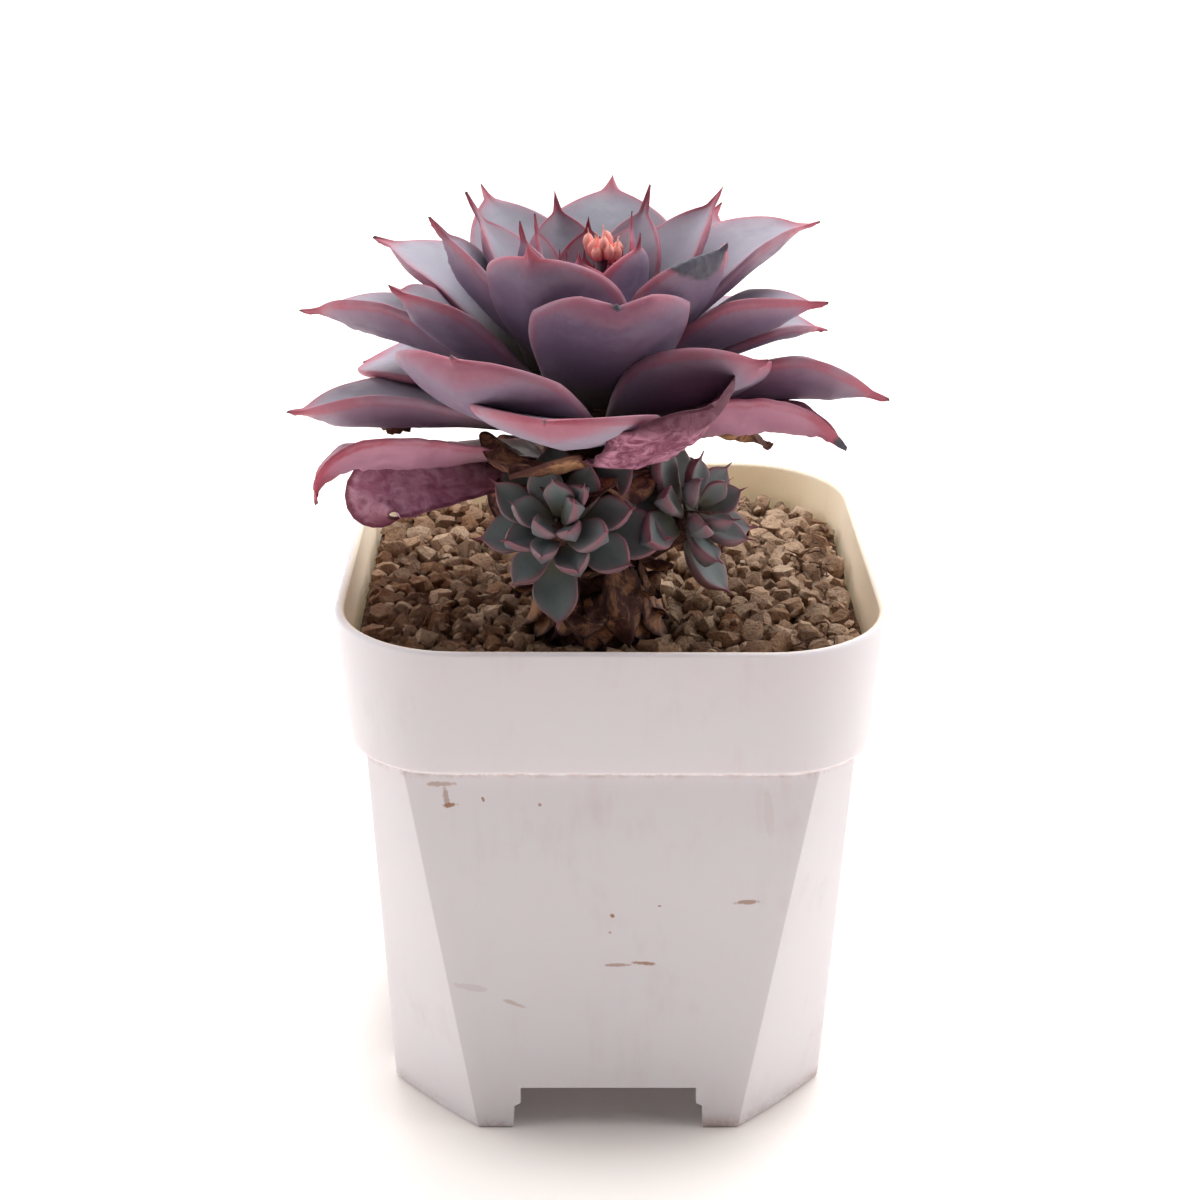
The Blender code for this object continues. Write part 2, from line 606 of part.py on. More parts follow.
def make_buds(look, placed):
    foot = CROWN_FOOT + CROWN_HEIGHT + GAP
    x, y, top = from_crown((*BUDS_STALK, BUDS_RISE))
    tall = top - foot
    wide = BUDS_RADIUS * CROWN_SCALE
    shares = ((0.0, 0.34), (0.5, 0.36), (0.66, 0.8), (0.80, 1.0), (0.92, 0.8))
    rings = lobed_rings([(tall * h, wide * r) for h, r in shares])
    frame = Matrix.Translation(Vector((x, y, foot)) * MM)
    tip = (0.0, 0.0, tall)
    buds = add_object("flower_buds", loft("flower_buds", rings, tip=tip), look)
    buds.matrix_world = frame
    placed["flower_buds"] = shell_of(rings, tip, frame)


def make_pebble(look, placed):
    """A grain of grit caught between two leaves, raised until it clears the lower one."""
    bm = bmesh.new()
    bmesh.ops.create_icosphere(bm, subdivisions=2, radius=PEBBLE_RADIUS * MM)
    for vert in bm.verts:
        bump = 1.0 + 0.22 * noise.noise(vert.co / MM * 0.6)
        vert.co = Vector((vert.co.x * 1.3, vert.co.y, vert.co.z * 0.7)) * bump
    mesh = bpy.data.meshes.new("pebble")
    bm.to_mesh(mesh)
    bm.free()
    x, y, z = from_crown(PEBBLE_PLACE)
    for step in range(60):
        world = Matrix.Translation(Vector((x, y, z + step * PEBBLE_STEP)) * MM)
        shell = shell_of_mesh(mesh, world)
        if not any(shell.touches(other) for other in placed.values()):
            break
    else:
        raise ValueError("the pebble finds no room")
    pebble = add_object("pebble", mesh, look)
    pebble.matrix_world = world
    return pebble


# ---- run -----------------------------------------------------------------------------------
def clear_scene():
    for obj in list(bpy.data.objects):
        bpy.data.objects.remove(obj, do_unlink=True)


def centre_on_origin():
    """Hangs every piece from one empty and slides it until the object's box is over the origin."""
    holder = bpy.data.objects.new("potted_succulent", None)
    bpy.context.scene.collection.objects.link(holder)
    bpy.context.view_layer.update()
    points = []
    for obj in bpy.context.scene.objects:
        if obj.type == "MESH" and not obj.hide_render:
            points += [obj.matrix_world @ vert.co for vert in obj.data.vertices]
        if obj is not holder:
            obj.parent = holder
    for axis in range(2):
        low = min(point[axis] for point in points)
        high = max(point[axis] for point in points)
        holder.location[axis] = -(low + high) / 2


def main():
    clear_scene()
    plastic = material("pot_plastic", (0.86, 0.82, 0.80), 0.35)
    grit = material("grit", (0.36, 0.26, 0.17), 0.95)
    bark = material("stem_bark", (0.22, 0.12, 0.11), 0.9)
    skin = material("leaf_skin", (0.40, 0.32, 0.38), 0.55)
    pup_skin = material("offset_skin", (0.28, 0.33, 0.34), 0.55)
    bloom = material("flower_bud", (0.90, 0.42, 0.30), 0.5)
    dry = material("withered_leaf", (0.45, 0.20, 0.24), 0.7)
    pot = make_pot(plastic)
    soil = make_soil(grit)
    stem = add_object("stem", stem_mesh("stem"), bark)
    placed = {"stem": shell_of_mesh(stem.data, Matrix.Identity(4))}
    crown = Matrix.Translation(Vector((*CROWN_AXIS, CROWN_FOOT)) * MM)
    make_buds(bloom, placed)
    for name, azimuth, base, reach, rise, width, thick, leave, meet, cup, point in LEAVES + WITHERED:
        look = dry if name.startswith("withered") else skin
        base, reach, rise, width, thick, point = (
            CROWN_SCALE * length for length in (base, reach, rise, width, thick, point)
        )
        shape = (reach, rise, width, thick, leave, meet, cup, point)
        foot_radius = stem_radius(CROWN_FOOT + base) + 2 * GAP
        settle(name, look, placed, crown, base, azimuth, shape, foot_radius)
    for offset in OFFSETS:
        make_offset(offset, pup_skin, placed)
    make_pebble(grit, placed)
    centre_on_origin()


main()
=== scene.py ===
"""A rosette succulent with two offsets, planted in grit in a square plastic pot.

Every new piece starts as a ball whose rings are drawn out along a centre line, or as a cube or a
curve that is shaped and finished with modifiers. Lengths are worked out in millimetres and kept
in metres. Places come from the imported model's own nodes.
"""

import math
import random

import bpy
import numpy as np
from bpy.props import FloatProperty, FloatVectorProperty, IntProperty, PointerProperty
from mathutils import Matrix, Vector, noise
from mathutils.bvhtree import BVHTree


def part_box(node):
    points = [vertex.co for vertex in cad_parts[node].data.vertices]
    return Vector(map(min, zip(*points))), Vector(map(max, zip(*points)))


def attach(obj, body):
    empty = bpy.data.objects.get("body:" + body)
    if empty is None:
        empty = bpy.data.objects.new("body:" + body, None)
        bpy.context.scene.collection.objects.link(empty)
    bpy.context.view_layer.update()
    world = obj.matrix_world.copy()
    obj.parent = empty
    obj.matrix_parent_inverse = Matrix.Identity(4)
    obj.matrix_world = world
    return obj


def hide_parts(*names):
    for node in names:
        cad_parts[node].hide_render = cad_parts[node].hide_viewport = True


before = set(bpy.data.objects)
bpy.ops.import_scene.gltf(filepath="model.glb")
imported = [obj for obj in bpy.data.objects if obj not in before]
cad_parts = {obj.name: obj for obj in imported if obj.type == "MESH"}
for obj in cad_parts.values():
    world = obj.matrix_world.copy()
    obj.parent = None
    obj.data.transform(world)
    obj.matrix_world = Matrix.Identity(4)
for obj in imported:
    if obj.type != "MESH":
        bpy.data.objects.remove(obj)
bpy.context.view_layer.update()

bl_info = {
    "name": "Potted Rosette Succulent",
    "version": (1, 0, 0),
    "blender": (4, 5, 0),
    "location": "3D View > Sidebar > Succulent",
    "description": "Dresses the packed model of a potted succulent with leaves, grit, stains "
                   "and light",
    "category": "Add Mesh",
}

MM = 0.001
GOLDEN_TURN = math.radians(137.5)
BODY = "root"


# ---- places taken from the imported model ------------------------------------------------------
def node_points(node):
    """The separate corners of a node's mesh, in millimetres."""
    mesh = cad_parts[node].data
    flat = np.empty(len(mesh.vertices) * 3)
    mesh.vertices.foreach_get("co", flat)
    return np.unique(np.round(flat.reshape(-1, 3) / MM, 3), axis=0)


def middle_of(node):
    low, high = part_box(node)
    return (Vector(low) + Vector(high)) / 2 / MM


def size_of(node):
    low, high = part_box(node)
    return (Vector(high) - Vector(low)) / MM


POT_MIDDLE = middle_of("pot")
POT_SIZE = size_of("pot")
CROWN = np.array((POT_MIDDLE.x - 4.0, POT_MIDDLE.y - 8.0, 107.5))
STEM_ROOT = np.array((POT_MIDDLE.x - 2.2, POT_MIDDLE.y - 15.5))
COLLAR_HEIGHT = 21.1
COLLAR_FOOT = POT_SIZE.z - COLLAR_HEIGHT
SOIL_LEVEL = POT_SIZE.z - 8.0


# ---- settings --------------------------------------------------------------------------------
def rgb(red, green, blue):
    """A colour given as the 0 to 255 of a paint chart, as the shader's linear values."""
    parts = (channel / 255 for channel in (red, green, blue))
    return tuple(c / 12.92 if c <= 0.04045 else ((c + 0.055) / 1.055) ** 2.4 for c in parts)


def number(name, description, value, **extra):
    return FloatProperty(name=name, description=description, default=value, **extra)


def length(name, description, millimetres):
    return number(name, description, millimetres * MM, unit="LENGTH")


def colour(name, description, *chart):
    return FloatVectorProperty(
        name=name, description=description, default=rgb(*chart), size=3, subtype="COLOR",
        min=0.0, max=1.0,
    )


class PotSettings(bpy.types.PropertyGroup):
    rim_width: length("Rim width", "Width of the rim across its flats", POT_SIZE.x)
    wall: length("Wall", "Thickness of the plastic", 1.5)
    notch_height: length("Notch height", "Height of the openings between the feet", 8.1)
    plastic: colour("Plastic", "Colour of the clean plastic", 219, 214, 218)
    stain: colour("Stain", "Colour of the soil stains", 150, 100, 62)


class RosetteSettings(bpy.types.PropertyGroup):
    upper: colour("Upper face", "Colour of a leaf's upper face", 142, 132, 149)
    under: colour("Underside", "Colour of a leaf's underside", 98, 72, 103)
    margin: colour("Margin", "Colour of the line along a leaf's edge", 164, 28, 66)
    ruffle: length("Ruffle", "How far a leaf's edge waves up and down", 0.5)


class OffsetSettings(bpy.types.PropertyGroup):
    upper: colour("Upper face", "Colour of an offset leaf's upper face", 98, 108, 110)
    under: colour("Underside", "Colour of an offset leaf's underside", 82, 90, 96)
    margin: colour("Margin", "Colour of the line along an offset leaf's edge", 150, 48, 76)
    leaves: IntProperty(
        name="Leaves", description="Leaves on the larger offset", default=22, min=8, max=40
    )


class GritSettings(bpy.types.PropertyGroup):
    smallest: length("Smallest grain", "Radius of the smallest grain", 1.05)
    largest: length("Largest grain", "Radius of the largest grain", 2.5)
    pale: colour("Pale grain", "Colour of the palest grains", 238, 208, 178)
    dark: colour("Dark grain", "Colour of the darkest grains", 118, 86, 64)


class StageSettings(bpy.types.PropertyGroup):
    focal_length: number("Focal length", "Of the camera, in millimetres", 64.18)
    distance: length("Distance", "From the camera to the pot's middle, along the floor", 324.53)
    height: length("Height", "Of the camera above the floor", 217.33)
    backlight: number("Backlight", "Brightness of the light behind", 1.33)
    frontlight: number("Front light", "Brightness of the light in front", 0.04)


# ---- shaping ---------------------------------------------------------------------------------
def deselect():
    for obj in bpy.context.selected_objects:
        obj.select_set(False)


def ball(name, sides, rings):
    """A ball with this many sides and this many rings between its two poles."""
    deselect()
    bpy.ops.mesh.primitive_uv_sphere_add(segments=sides, ring_count=rings + 1, radius=1.0)
    made = bpy.context.object
    made.name = made.data.name = name
    return made


def corners(obj):
    flat = np.empty(len(obj.data.vertices) * 3)
    obj.data.vertices.foreach_get("co", flat)
    return flat.reshape(-1, 3)


def move_corners(obj, points):
    """Moves an object's corners to points given in millimetres."""
    obj.data.vertices.foreach_set("co", (np.asarray(points, float) * MM).ravel())
    obj.data.update()


def ring_of(unit, gaps):
    """Which ring of a ball each of its corners is on; 0 is the pole below."""
    return np.rint(np.arccos(np.clip(-unit[:, 2], -1, 1)) / math.pi * gaps).astype(int)


def drawn(name, rings, foot, tip):
    """A ball whose rings are drawn to the given ones, and its poles to the foot and the tip."""
    rings = np.asarray(rings, float)
    count, sides = rings.shape[:2]
    made = ball(name, sides, count)
    start = corners(made)
    level = ring_of(start, count + 1)
    side = np.rint(np.arctan2(start[:, 1], start[:, 0]) / (2 * math.pi) * sides).astype(int) % sides
    points = np.empty_like(start)
    inside = (level > 0) & (level <= count)
    points[inside] = rings[level[inside] - 1, side[inside]]
    points[level == 0] = foot
    points[level > count] = tip
    move_corners(made, points)
    return made


def store(obj, name, values):
    """Keeps four numbers at each corner of a piece, for its finish to read."""
    layer = obj.data.attributes.new(name, "FLOAT_COLOR", "POINT")
    layer.data.foreach_set("color", np.asarray(values, np.float32).ravel())


def smooth(obj, angle=None):
    deselect()
    obj.select_set(True)
    bpy.context.view_layer.objects.active = obj
    if angle is None:
        bpy.ops.object.shade_smooth()
    else:
        bpy.ops.object.shade_smooth_by_angle(angle=math.radians(angle))


def apply_modifiers(obj):
    deselect()
    obj.select_set(True)
    bpy.context.view_layer.objects.active = obj
    for modifier in list(obj.modifiers):
        bpy.ops.object.modifier_apply(modifier=modifier.name)


def joined(name, objects):
    deselect()
    for obj in objects:
        obj.select_set(True)
    bpy.context.view_layer.objects.active = objects[0]
    bpy.ops.object.join()
    made = bpy.context.object
    made.name = made.data.name = name
    return made


def finish_piece(obj, look, slot, *nodes):
    """Gives a piece its finish, hangs it on the body and lets it stand for its nodes."""
    obj.data.materials.clear()
    obj.data.materials.append(look)
    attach(obj, BODY)
    if nodes:
        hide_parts(*nodes)


def wave(points, size, seed):
    """Smooth noise between -1 and 1 at each point; size is its wavelength in millimetres."""
    shift = Vector((seed * 7.3, seed * 3.1, seed * 5.7))
    return np.array([noise.noise(Vector(p) / size + shift) for p in points])


# ---- finishes --------------------------------------------------------------------------------
class Term:
    """A socket in a finish, on which sums are written as on a number."""

    def __init__(self, finish, socket):
        self.finish = finish
        self.socket = socket

    def sum(self, operation, *terms):
        return self.finish.node("ShaderNodeMath", {"operation": operation}, *terms)

    def __add__(self, other):
        return self.sum("ADD", self, other)

    def __radd__(self, other):
        return self.sum("ADD", other, self)

    def __sub__(self, other):
        return self.sum("SUBTRACT", self, other)

    def __rsub__(self, other):
        return self.sum("SUBTRACT", other, self)

    def __mul__(self, other):
        return self.sum("MULTIPLY", self, other)

    def __rmul__(self, other):
        return self.sum("MULTIPLY", other, self)

    def __truediv__(self, other):
        return self.sum("DIVIDE", self, other)

    def __pow__(self, other):
        return self.sum("POWER", self, other)

    def most(self, other):
        return self.sum("MAXIMUM", self, other)

    def rise(self, low, high):
        """0 below low and 1 above high, eased between; low above high falls instead."""
        eased = {"interpolation_type": "SMOOTHSTEP"}
        return self.finish.node("ShaderNodeMapRange", eased, self, low, high)


class Finish:
    """One material, built up from its principled shader."""

    def __init__(self, name, **constants):
        self.material = bpy.data.materials.new(name)
        self.material.use_nodes = True
        self.tree = self.material.node_tree
        self.shader = self.tree.nodes["Principled BSDF"]
        for socket, value in constants.items():
            self.shader.inputs[socket.replace("_", " ")].default_value = value

    def node(self, kind, settings=None, *values, out=0, **named):
        made = self.tree.nodes.new(kind)
        for key, value in (settings or {}).items():
            setattr(made, key, value)
        for key, value in list(enumerate(values)) + list(named.items()):
            socket = made.inputs[key]
            if isinstance(value, Term):
                self.tree.links.new(value.socket, socket)
            elif value is not None:
                socket.default_value = value
        return Term(self, made.outputs[out])

    def place(self, *stretch):
        """A point's own place, stretched along the three axes if three numbers are given."""
        own = self.node("ShaderNodeTexCoord", out="Object")
        return self.node("ShaderNodeMapping", {}, own, Scale=stretch) if stretch else own

    def split(self, vector):
        return [self.node("ShaderNodeSeparateXYZ", {}, vector, out=axis) for axis in range(3)]

    def kept(self, name):
        """The four numbers stored at each corner under a name."""
        layer = {"attribute_name": name}
        colours = self.node("ShaderNodeAttribute", layer, out="Color")
        parts = [self.node("ShaderNodeSeparateColor", {}, colours, out=i) for i in range(3)]
        return parts + [self.node("ShaderNodeAttribute", layer, out="Alpha")]

    def clouds(self, size, detail=3.0, roughness=0.5, vector=None, warp=0.0):
        """Noise between 0 and 1; size is its wavelength in millimetres."""
        return self.node(
            "ShaderNodeTexNoise", {}, Vector=vector or self.place(), Scale=1.0 / (size * MM),
            Detail=detail, Roughness=roughness, Distortion=warp,
        )

    def cells(self, size):
        """Distance from the nearest of scattered points; size is their spacing in millimetres."""
        return self.node(
            "ShaderNodeTexVoronoi", {}, Vector=self.place(), Scale=1.0 / (size * MM), out="Distance"
        )

    def mix(self, share, first, second, blend="MIX"):
        """Two colours mixed; a plain colour is three numbers."""
        ends = [c if isinstance(c, Term) else (*c, 1.0) for c in (first, second)]
        made = self.tree.nodes.new("ShaderNodeMix")
        made.data_type = "RGBA"
        made.blend_type = blend
        for index, value in zip((0, 6, 7), (share, *ends)):
            if isinstance(value, Term):
                self.tree.links.new(value.socket, made.inputs[index])
            else:
                made.inputs[index].default_value = value
        return Term(self, made.outputs[2])

    def paint(self, skin, *layers):
        """Lays colours over a skin in turn; each comes with its share."""
        for share, colour_over in layers:
            skin = self.mix(share, skin, colour_over)
        return skin

    def bump(self, height, depth, strength=1.0):
        """A normal from a height between 0 and 1 that stands for this depth in millimetres."""
        named = {"Height": height, "Distance": depth * MM, "Strength": strength}
        return self.node("ShaderNodeBump", {}, **named)

    def feed(self, **terms):
        for socket, term in terms.items():
            self.tree.links.new(term.socket, self.shader.inputs[socket.replace("_", " ")])
        return self.material


# Colours that no setting changes.
SAP_GREEN = rgb(134, 130, 88)
BURNT_TIP = rgb(58, 26, 38)
SCORCHED = rgb(20, 18, 42), rgb(46, 38, 64)
# Painted light: the cream of thin plastic lit through and from above.
BACKLIT_PLASTIC = rgb(255, 238, 214)
RUSTY_CLAY, BUFF_CLAY, CLAY_PIT = rgb(168, 112, 70), rgb(206, 178, 146), rgb(72, 48, 34)
EARTH = rgb(58, 40, 30), rgb(120, 88, 66)
BUD_FOOT, BUD_BODY, BUD_MOUTH = rgb(226, 96, 98), rgb(252, 176, 160), rgb(254, 214, 170)
BUD_FLUSH, BUD_STALK = rgb(240, 116, 130), rgb(92, 56, 74)
LEAF_SHADE, GRAIN_SHADE = (0.30, 0.24, 0.30), (0.22, 0.18, 0.15)
# An edge guide of 1 stands for this many millimetres from a leaf's edge.
EDGE_REACH = 10.0


def times(colour_of, factors):
    return tuple(c * factor for c, factor in zip(colour_of, factors))


def leaf_finish(name, upper, under, margin, bloom=0.5, narrow=1.0):
    """Waxy leaf skin: a powdery upper face, a darker underside, a crimson line and a burnt tip,
    with painted shade at each leaf's foot and over leaves that lie in shade.
    """
    made = Finish(name, Specular_IOR_Level=0.42, Coat_Roughness=0.45)
    along, edge, face, tone = made.kept("blade")
    blush, shade, dry, dust = made.kept("tint")
    edge = edge * (EDGE_REACH * narrow)
    drift = made.clouds(7.0, 4.0, 0.6)
    powder = made.clouds(0.9, 5.0, 0.7)
    patches = made.clouds(3.2, 3.0, 0.6, warp=0.6).rise(0.42, 0.66)
    uneven = made.clouds(11.0, 3.0, 0.6).rise(0.34, 0.60)
    pale = tuple(min(1.0, c * 1.25 + 0.03) for c in upper)
    top = made.mix(tone, times(upper, (0.86, 1.04, 0.98)), upper)
    low = made.mix((drift - 0.3) * 0.9, under, times(under, (1.25, 0.95, 1.1)))
    # Painted shade: each leaf's foot is darkened, the underside more than the upper face, where the
    # rosette crowds it.
    painted_foot_shade = along.rise(0.42, 0.0) * (0.48 - 0.3 * face)
    sap = (along + (drift - 0.5) * 0.3).rise(0.44, 0.14) * (0.35 + 0.25 * face)
    wide = (edge + (drift - 0.5) * 2.0).rise(3.8, 0.3)
    line = (edge + (powder - 0.5) * 0.3 + (drift - 0.5) * 1.2).rise(1.0, 0.3)
    rim = (edge + (drift - 0.5) * 0.3).rise(0.62, 0.28) * (0.9 - 0.75 * along.rise(0.6, 0.9))
    reach = along + (drift - 0.5) * 0.10
    skin = made.paint(
        made.mix(face, low, top),
        (patches * bloom * (0.25 + 0.55 * face), pale),
        (dust, pale),
        (painted_foot_shade, times(under, (0.32, 0.32, 0.32))),
        (sap, SAP_GREEN),
        (wide * blush * (0.15 + 0.48 * along), made.mix(0.5, margin, pale)),
        (line * blush * (0.2 + 0.8 * along.rise(0.1, 0.6)) * (0.5 + 0.5 * uneven), margin),
        (rim * (1.0 - 0.7 * uneven) * 0.5, made.mix(0.16, pale, margin)),
        (reach.rise(0.83, 0.95) * blush, margin),
        (along.rise(0.972, 0.997) * 0.85, BURNT_TIP),
    )
    # Painted shade: a leaf's shade share darkens it towards LEAF_SHADE, for leaves that lie in the
    # shadow of others.
    skin = made.mix(shade, skin, LEAF_SHADE, "MULTIPLY")
    scorch = (dry + (made.clouds(1.6, 4.0) - 0.5) * 0.5).rise(0.35, 0.6)
    skin = made.mix(scorch, skin, made.mix(made.clouds(2.4, 4.0).rise(0.35, 0.65), *SCORCHED))
    skin = made.mix((powder - 0.5) * 0.5 + 0.5, skin, made.mix(0.12, skin, (1.0, 0.96, 1.0)))
    rough = 0.46 + 0.26 * patches + (powder - 0.5) * 0.2 + dust * 0.1
    height = made.clouds(1.3, 4.0, 0.6) * 0.5 + powder * 0.18 + scorch * made.cells(1.1) * 1.4
    return made.feed(Base_Color=skin, Roughness=rough, Normal=made.bump(height, 0.12, 0.6))


def papery_finish(name, light, mid, dark):
    """A dead leaf: thin, creased, mottled, with a browned rim."""
    made = Finish(name, Specular_IOR_Level=0.3)
    along, edge, _, tone = made.kept("blade")
    edge = edge * EDGE_REACH
    blots = made.clouds(4.0, 5.0, 0.65, warp=1.2)
    fine = made.clouds(0.8, 5.0, 0.7)
    creases = made.cells(2.2) * 0.7 + made.clouds(1.4, 4.0) * 0.5
    skin = made.paint(
        made.mix(blots.rise(0.36, 0.62), mid, light),
        ((blots + fine * 0.3).rise(0.72, 0.55) * tone, dark),
        # Painted shade: the hollows of the creases are painted darker.
        (creases.rise(0.55, 0.25) * 0.4, dark),
        ((edge + (blots - 0.5) * 2.0).rise(1.3, 0.2) * 0.8, dark),
        (along.rise(0.74, 0.92) * 0.8, dark),
    )
    skin = made.mix(fine * 0.25, skin, (0.9, 0.8, 0.8), "SOFT_LIGHT")
    normal = made.bump(creases + fine * 0.3, 0.45, 0.9)
    return made.feed(Base_Color=skin, Roughness=0.55 + fine * 0.3, Normal=normal)


def plastic_finish(pot):
    """Thin, milky, satin plastic with soil stains at the rim, the ledge, the feet and the front,
    and painted light making the inside of the collar and the lip a lighter cream.
    """
    made = Finish(
        "pot_plastic_stained", Specular_IOR_Level=0.45,
        Subsurface_Weight=0.35, Subsurface_Scale=0.003, Subsurface_Radius=(1.0, 0.82, 0.7),
    )
    x, y, z = (axis * (1.0 / MM) for axis in made.split(made.place()))
    inner = made.kept("wall")[0]
    fine = made.clouds(0.7, 5.0, 0.7)
    haze = made.clouds(14.0, 4.0, 0.6)
    streaks = made.clouds(3.0, 4.0, 0.6, vector=made.place(1.0, 1.0, 0.22))
    lip = inner.rise(0.3, 0.75) * z.rise(POT_SIZE.z - 1.4, POT_SIZE.z - 0.4)
    lip = lip * (fine * 0.9 + haze * 0.7).rise(0.80, 1.0) * (0.1 + 0.6 * y.rise(-24.0, -38.0))
    soil_line = inner.rise(0.55, 0.95) * z.rise(SOIL_LEVEL + 6.5, SOIL_LEVEL - 1.0)
    soil_line = soil_line * (haze * 0.6 + fine * 0.6).rise(0.62, 0.95) * 0.6
    ledge = z.rise(COLLAR_FOOT - 2.2, COLLAR_FOOT - 0.2)
    ledge = ledge * z.rise(COLLAR_FOOT + 0.9, COLLAR_FOOT + 0.1)
    ledge = ledge * (streaks + fine * 0.5).rise(0.62, 0.95)
    feet = z.rise(3.4, 0.0) * (fine * 0.6 + haze).rise(0.70, 1.0)
    dust = (haze * 0.7 + streaks * 0.5).rise(0.62, 0.86) * 0.10
    marks = lip.most(soil_line * 0.9).most(ledge * 0.7).most(feet * 0.55).most(dust)
    smudges = None
    for across, up, long, tall, tilt, depth in SMUDGES:
        turn_x = (x - across) * math.cos(tilt) + (z - up) * math.sin(tilt)
        turn_z = (z - up) * math.cos(tilt) - (x - across) * math.sin(tilt)
        far = (turn_x / long) ** 2.0 + (turn_z / tall) ** 2.0
        spot = (far + (streaks - 0.5) * 2.4 + (fine - 0.5) * 2.0).rise(1.0, 0.35) * depth
        smudges = spot if smudges is None else smudges.most(spot)
    marks = marks.most(smudges * y.rise(-30.0, -34.0))
    # Painted light: the inside of the collar and the top of the lip are painted cream, as if light
    # shone through the thin wall and onto the lip.
    skin = made.mix(inner.rise(0.3, 0.8) * 0.9, pot.plastic, BACKLIT_PLASTIC)
    rough = 0.34 + 0.16 * haze + 0.3 * marks + (fine - 0.5) * 0.12
    normal = made.bump(haze * 0.8 + fine * 0.05 + marks * 0.10, 0.35, 0.35)
    return made.feed(Base_Color=made.mix(marks, skin, pot.stain), Roughness=rough, Normal=normal)


def grain_finish(name, grit):
    """Broken fired clay and bark: every grain has its own colour, rough and pitted, and the grains
    that lie low get painted shade.
    """
    made = Finish(name, Specular_IOR_Level=0.25)
    tone, warm, deep, _ = made.kept("grain")
    pits = made.clouds(0.7, 5.0, 0.75)
    blots = made.clouds(1.7, 4.0, 0.6)
    skin = made.paint(
        made.mix(tone, grit.dark, grit.pale),
        (warm * 0.45, RUSTY_CLAY),
        (blots.rise(0.5, 0.72) * 0.45, BUFF_CLAY),
        # The pits are painted darker: partly the clay's own pores, partly painted shade in the
        # hollows.
        (pits.rise(0.5, 0.32) * 0.55, CLAY_PIT),
    )
    # Painted shade: grains low in the bed are darkened towards GRAIN_SHADE by their stored
    # darkness.
    skin = made.mix(deep, skin, GRAIN_SHADE, "MULTIPLY")
    normal = made.bump(pits + blots * 1.2, 0.9)
    return made.feed(Base_Color=skin, Roughness=0.82 + pits * 0.16, Normal=normal)


def earth_finish():
    """The fine dark dust between the grains."""
    made = Finish("fine_earth", Specular_IOR_Level=0.2)
    crumbs = made.cells(1.6)
    fine = made.clouds(0.8, 5.0, 0.7)
    skin = made.mix(fine.rise(0.35, 0.7), *EARTH)
    normal = made.bump(crumbs + fine, 0.8)
    return made.feed(Base_Color=skin, Roughness=0.9 + fine * 0.08, Normal=normal)


def bark_finish(name, light, dark):
    """Dull bark with close ridges round the limb."""
    made = Finish(name, Specular_IOR_Level=0.25)
    ridges = made.clouds(1.4, 5.0, 0.7, vector=made.place(1.0, 1.0, 2.2))
    blots = made.clouds(3.6, 4.0, 0.6)
    skin = made.mix((ridges * 0.6 + blots * 0.5).rise(0.38, 0.72), dark, light)
    normal = made.bump(ridges + blots, 0.7)
    return made.feed(Base_Color=skin, Roughness=0.8 + ridges * 0.15, Normal=normal)


def bud_finish():
    """Coral buds, peach at their mouths."""
    made = Finish("flower_bud_coral", Subsurface_Weight=0.2, Subsurface_Scale=0.001)
    along, edge, _, tone = made.kept("blade")
    fine = made.clouds(0.6, 4.0, 0.6)
    skin = made.paint(
        made.mix(along.rise(0.15, 0.9), BUD_FOOT, BUD_BODY),
        (along.rise(0.90, 1.0) * 0.7, BUD_MOUTH),
        (fine * 0.3 * tone, BUD_FLUSH),
        (edge.rise(0.7, 0.9), BUD_STALK),
    )
    normal = made.bump(fine, 0.15, 0.5)
    return made.feed(Base_Color=skin, Roughness=0.42 + fine * 0.2, Normal=normal)


# ---- leaves ----------------------------------------------------------------------------------
LEAF_BASE = 0.26
LEAF_WIDEST = 0.66
# How much of a leaf's greatest width its node's mesh shows.
SECTION_SHARE = 0.99
PLAIN_LEAF = dict(
    sides=28, rings=41, notch=0.0, blunt=0.0, blush=1.0, shade=0.0, scar=0.0, tone=0.6,
    crumple=0.0, burn=0.0, curl=0.0, ruffle=0.5, keel=0.3, roll=0.0, powder=0.0,
)


def leaf(thick, leave, meet, cup, point, **traits):
    """A leaf's row: thickness, how far its centre line leaves and meets its chord in degrees,
    cup, length of its point, and what sets it apart from a plain leaf."""
    return thick, leave, meet, cup, point, traits


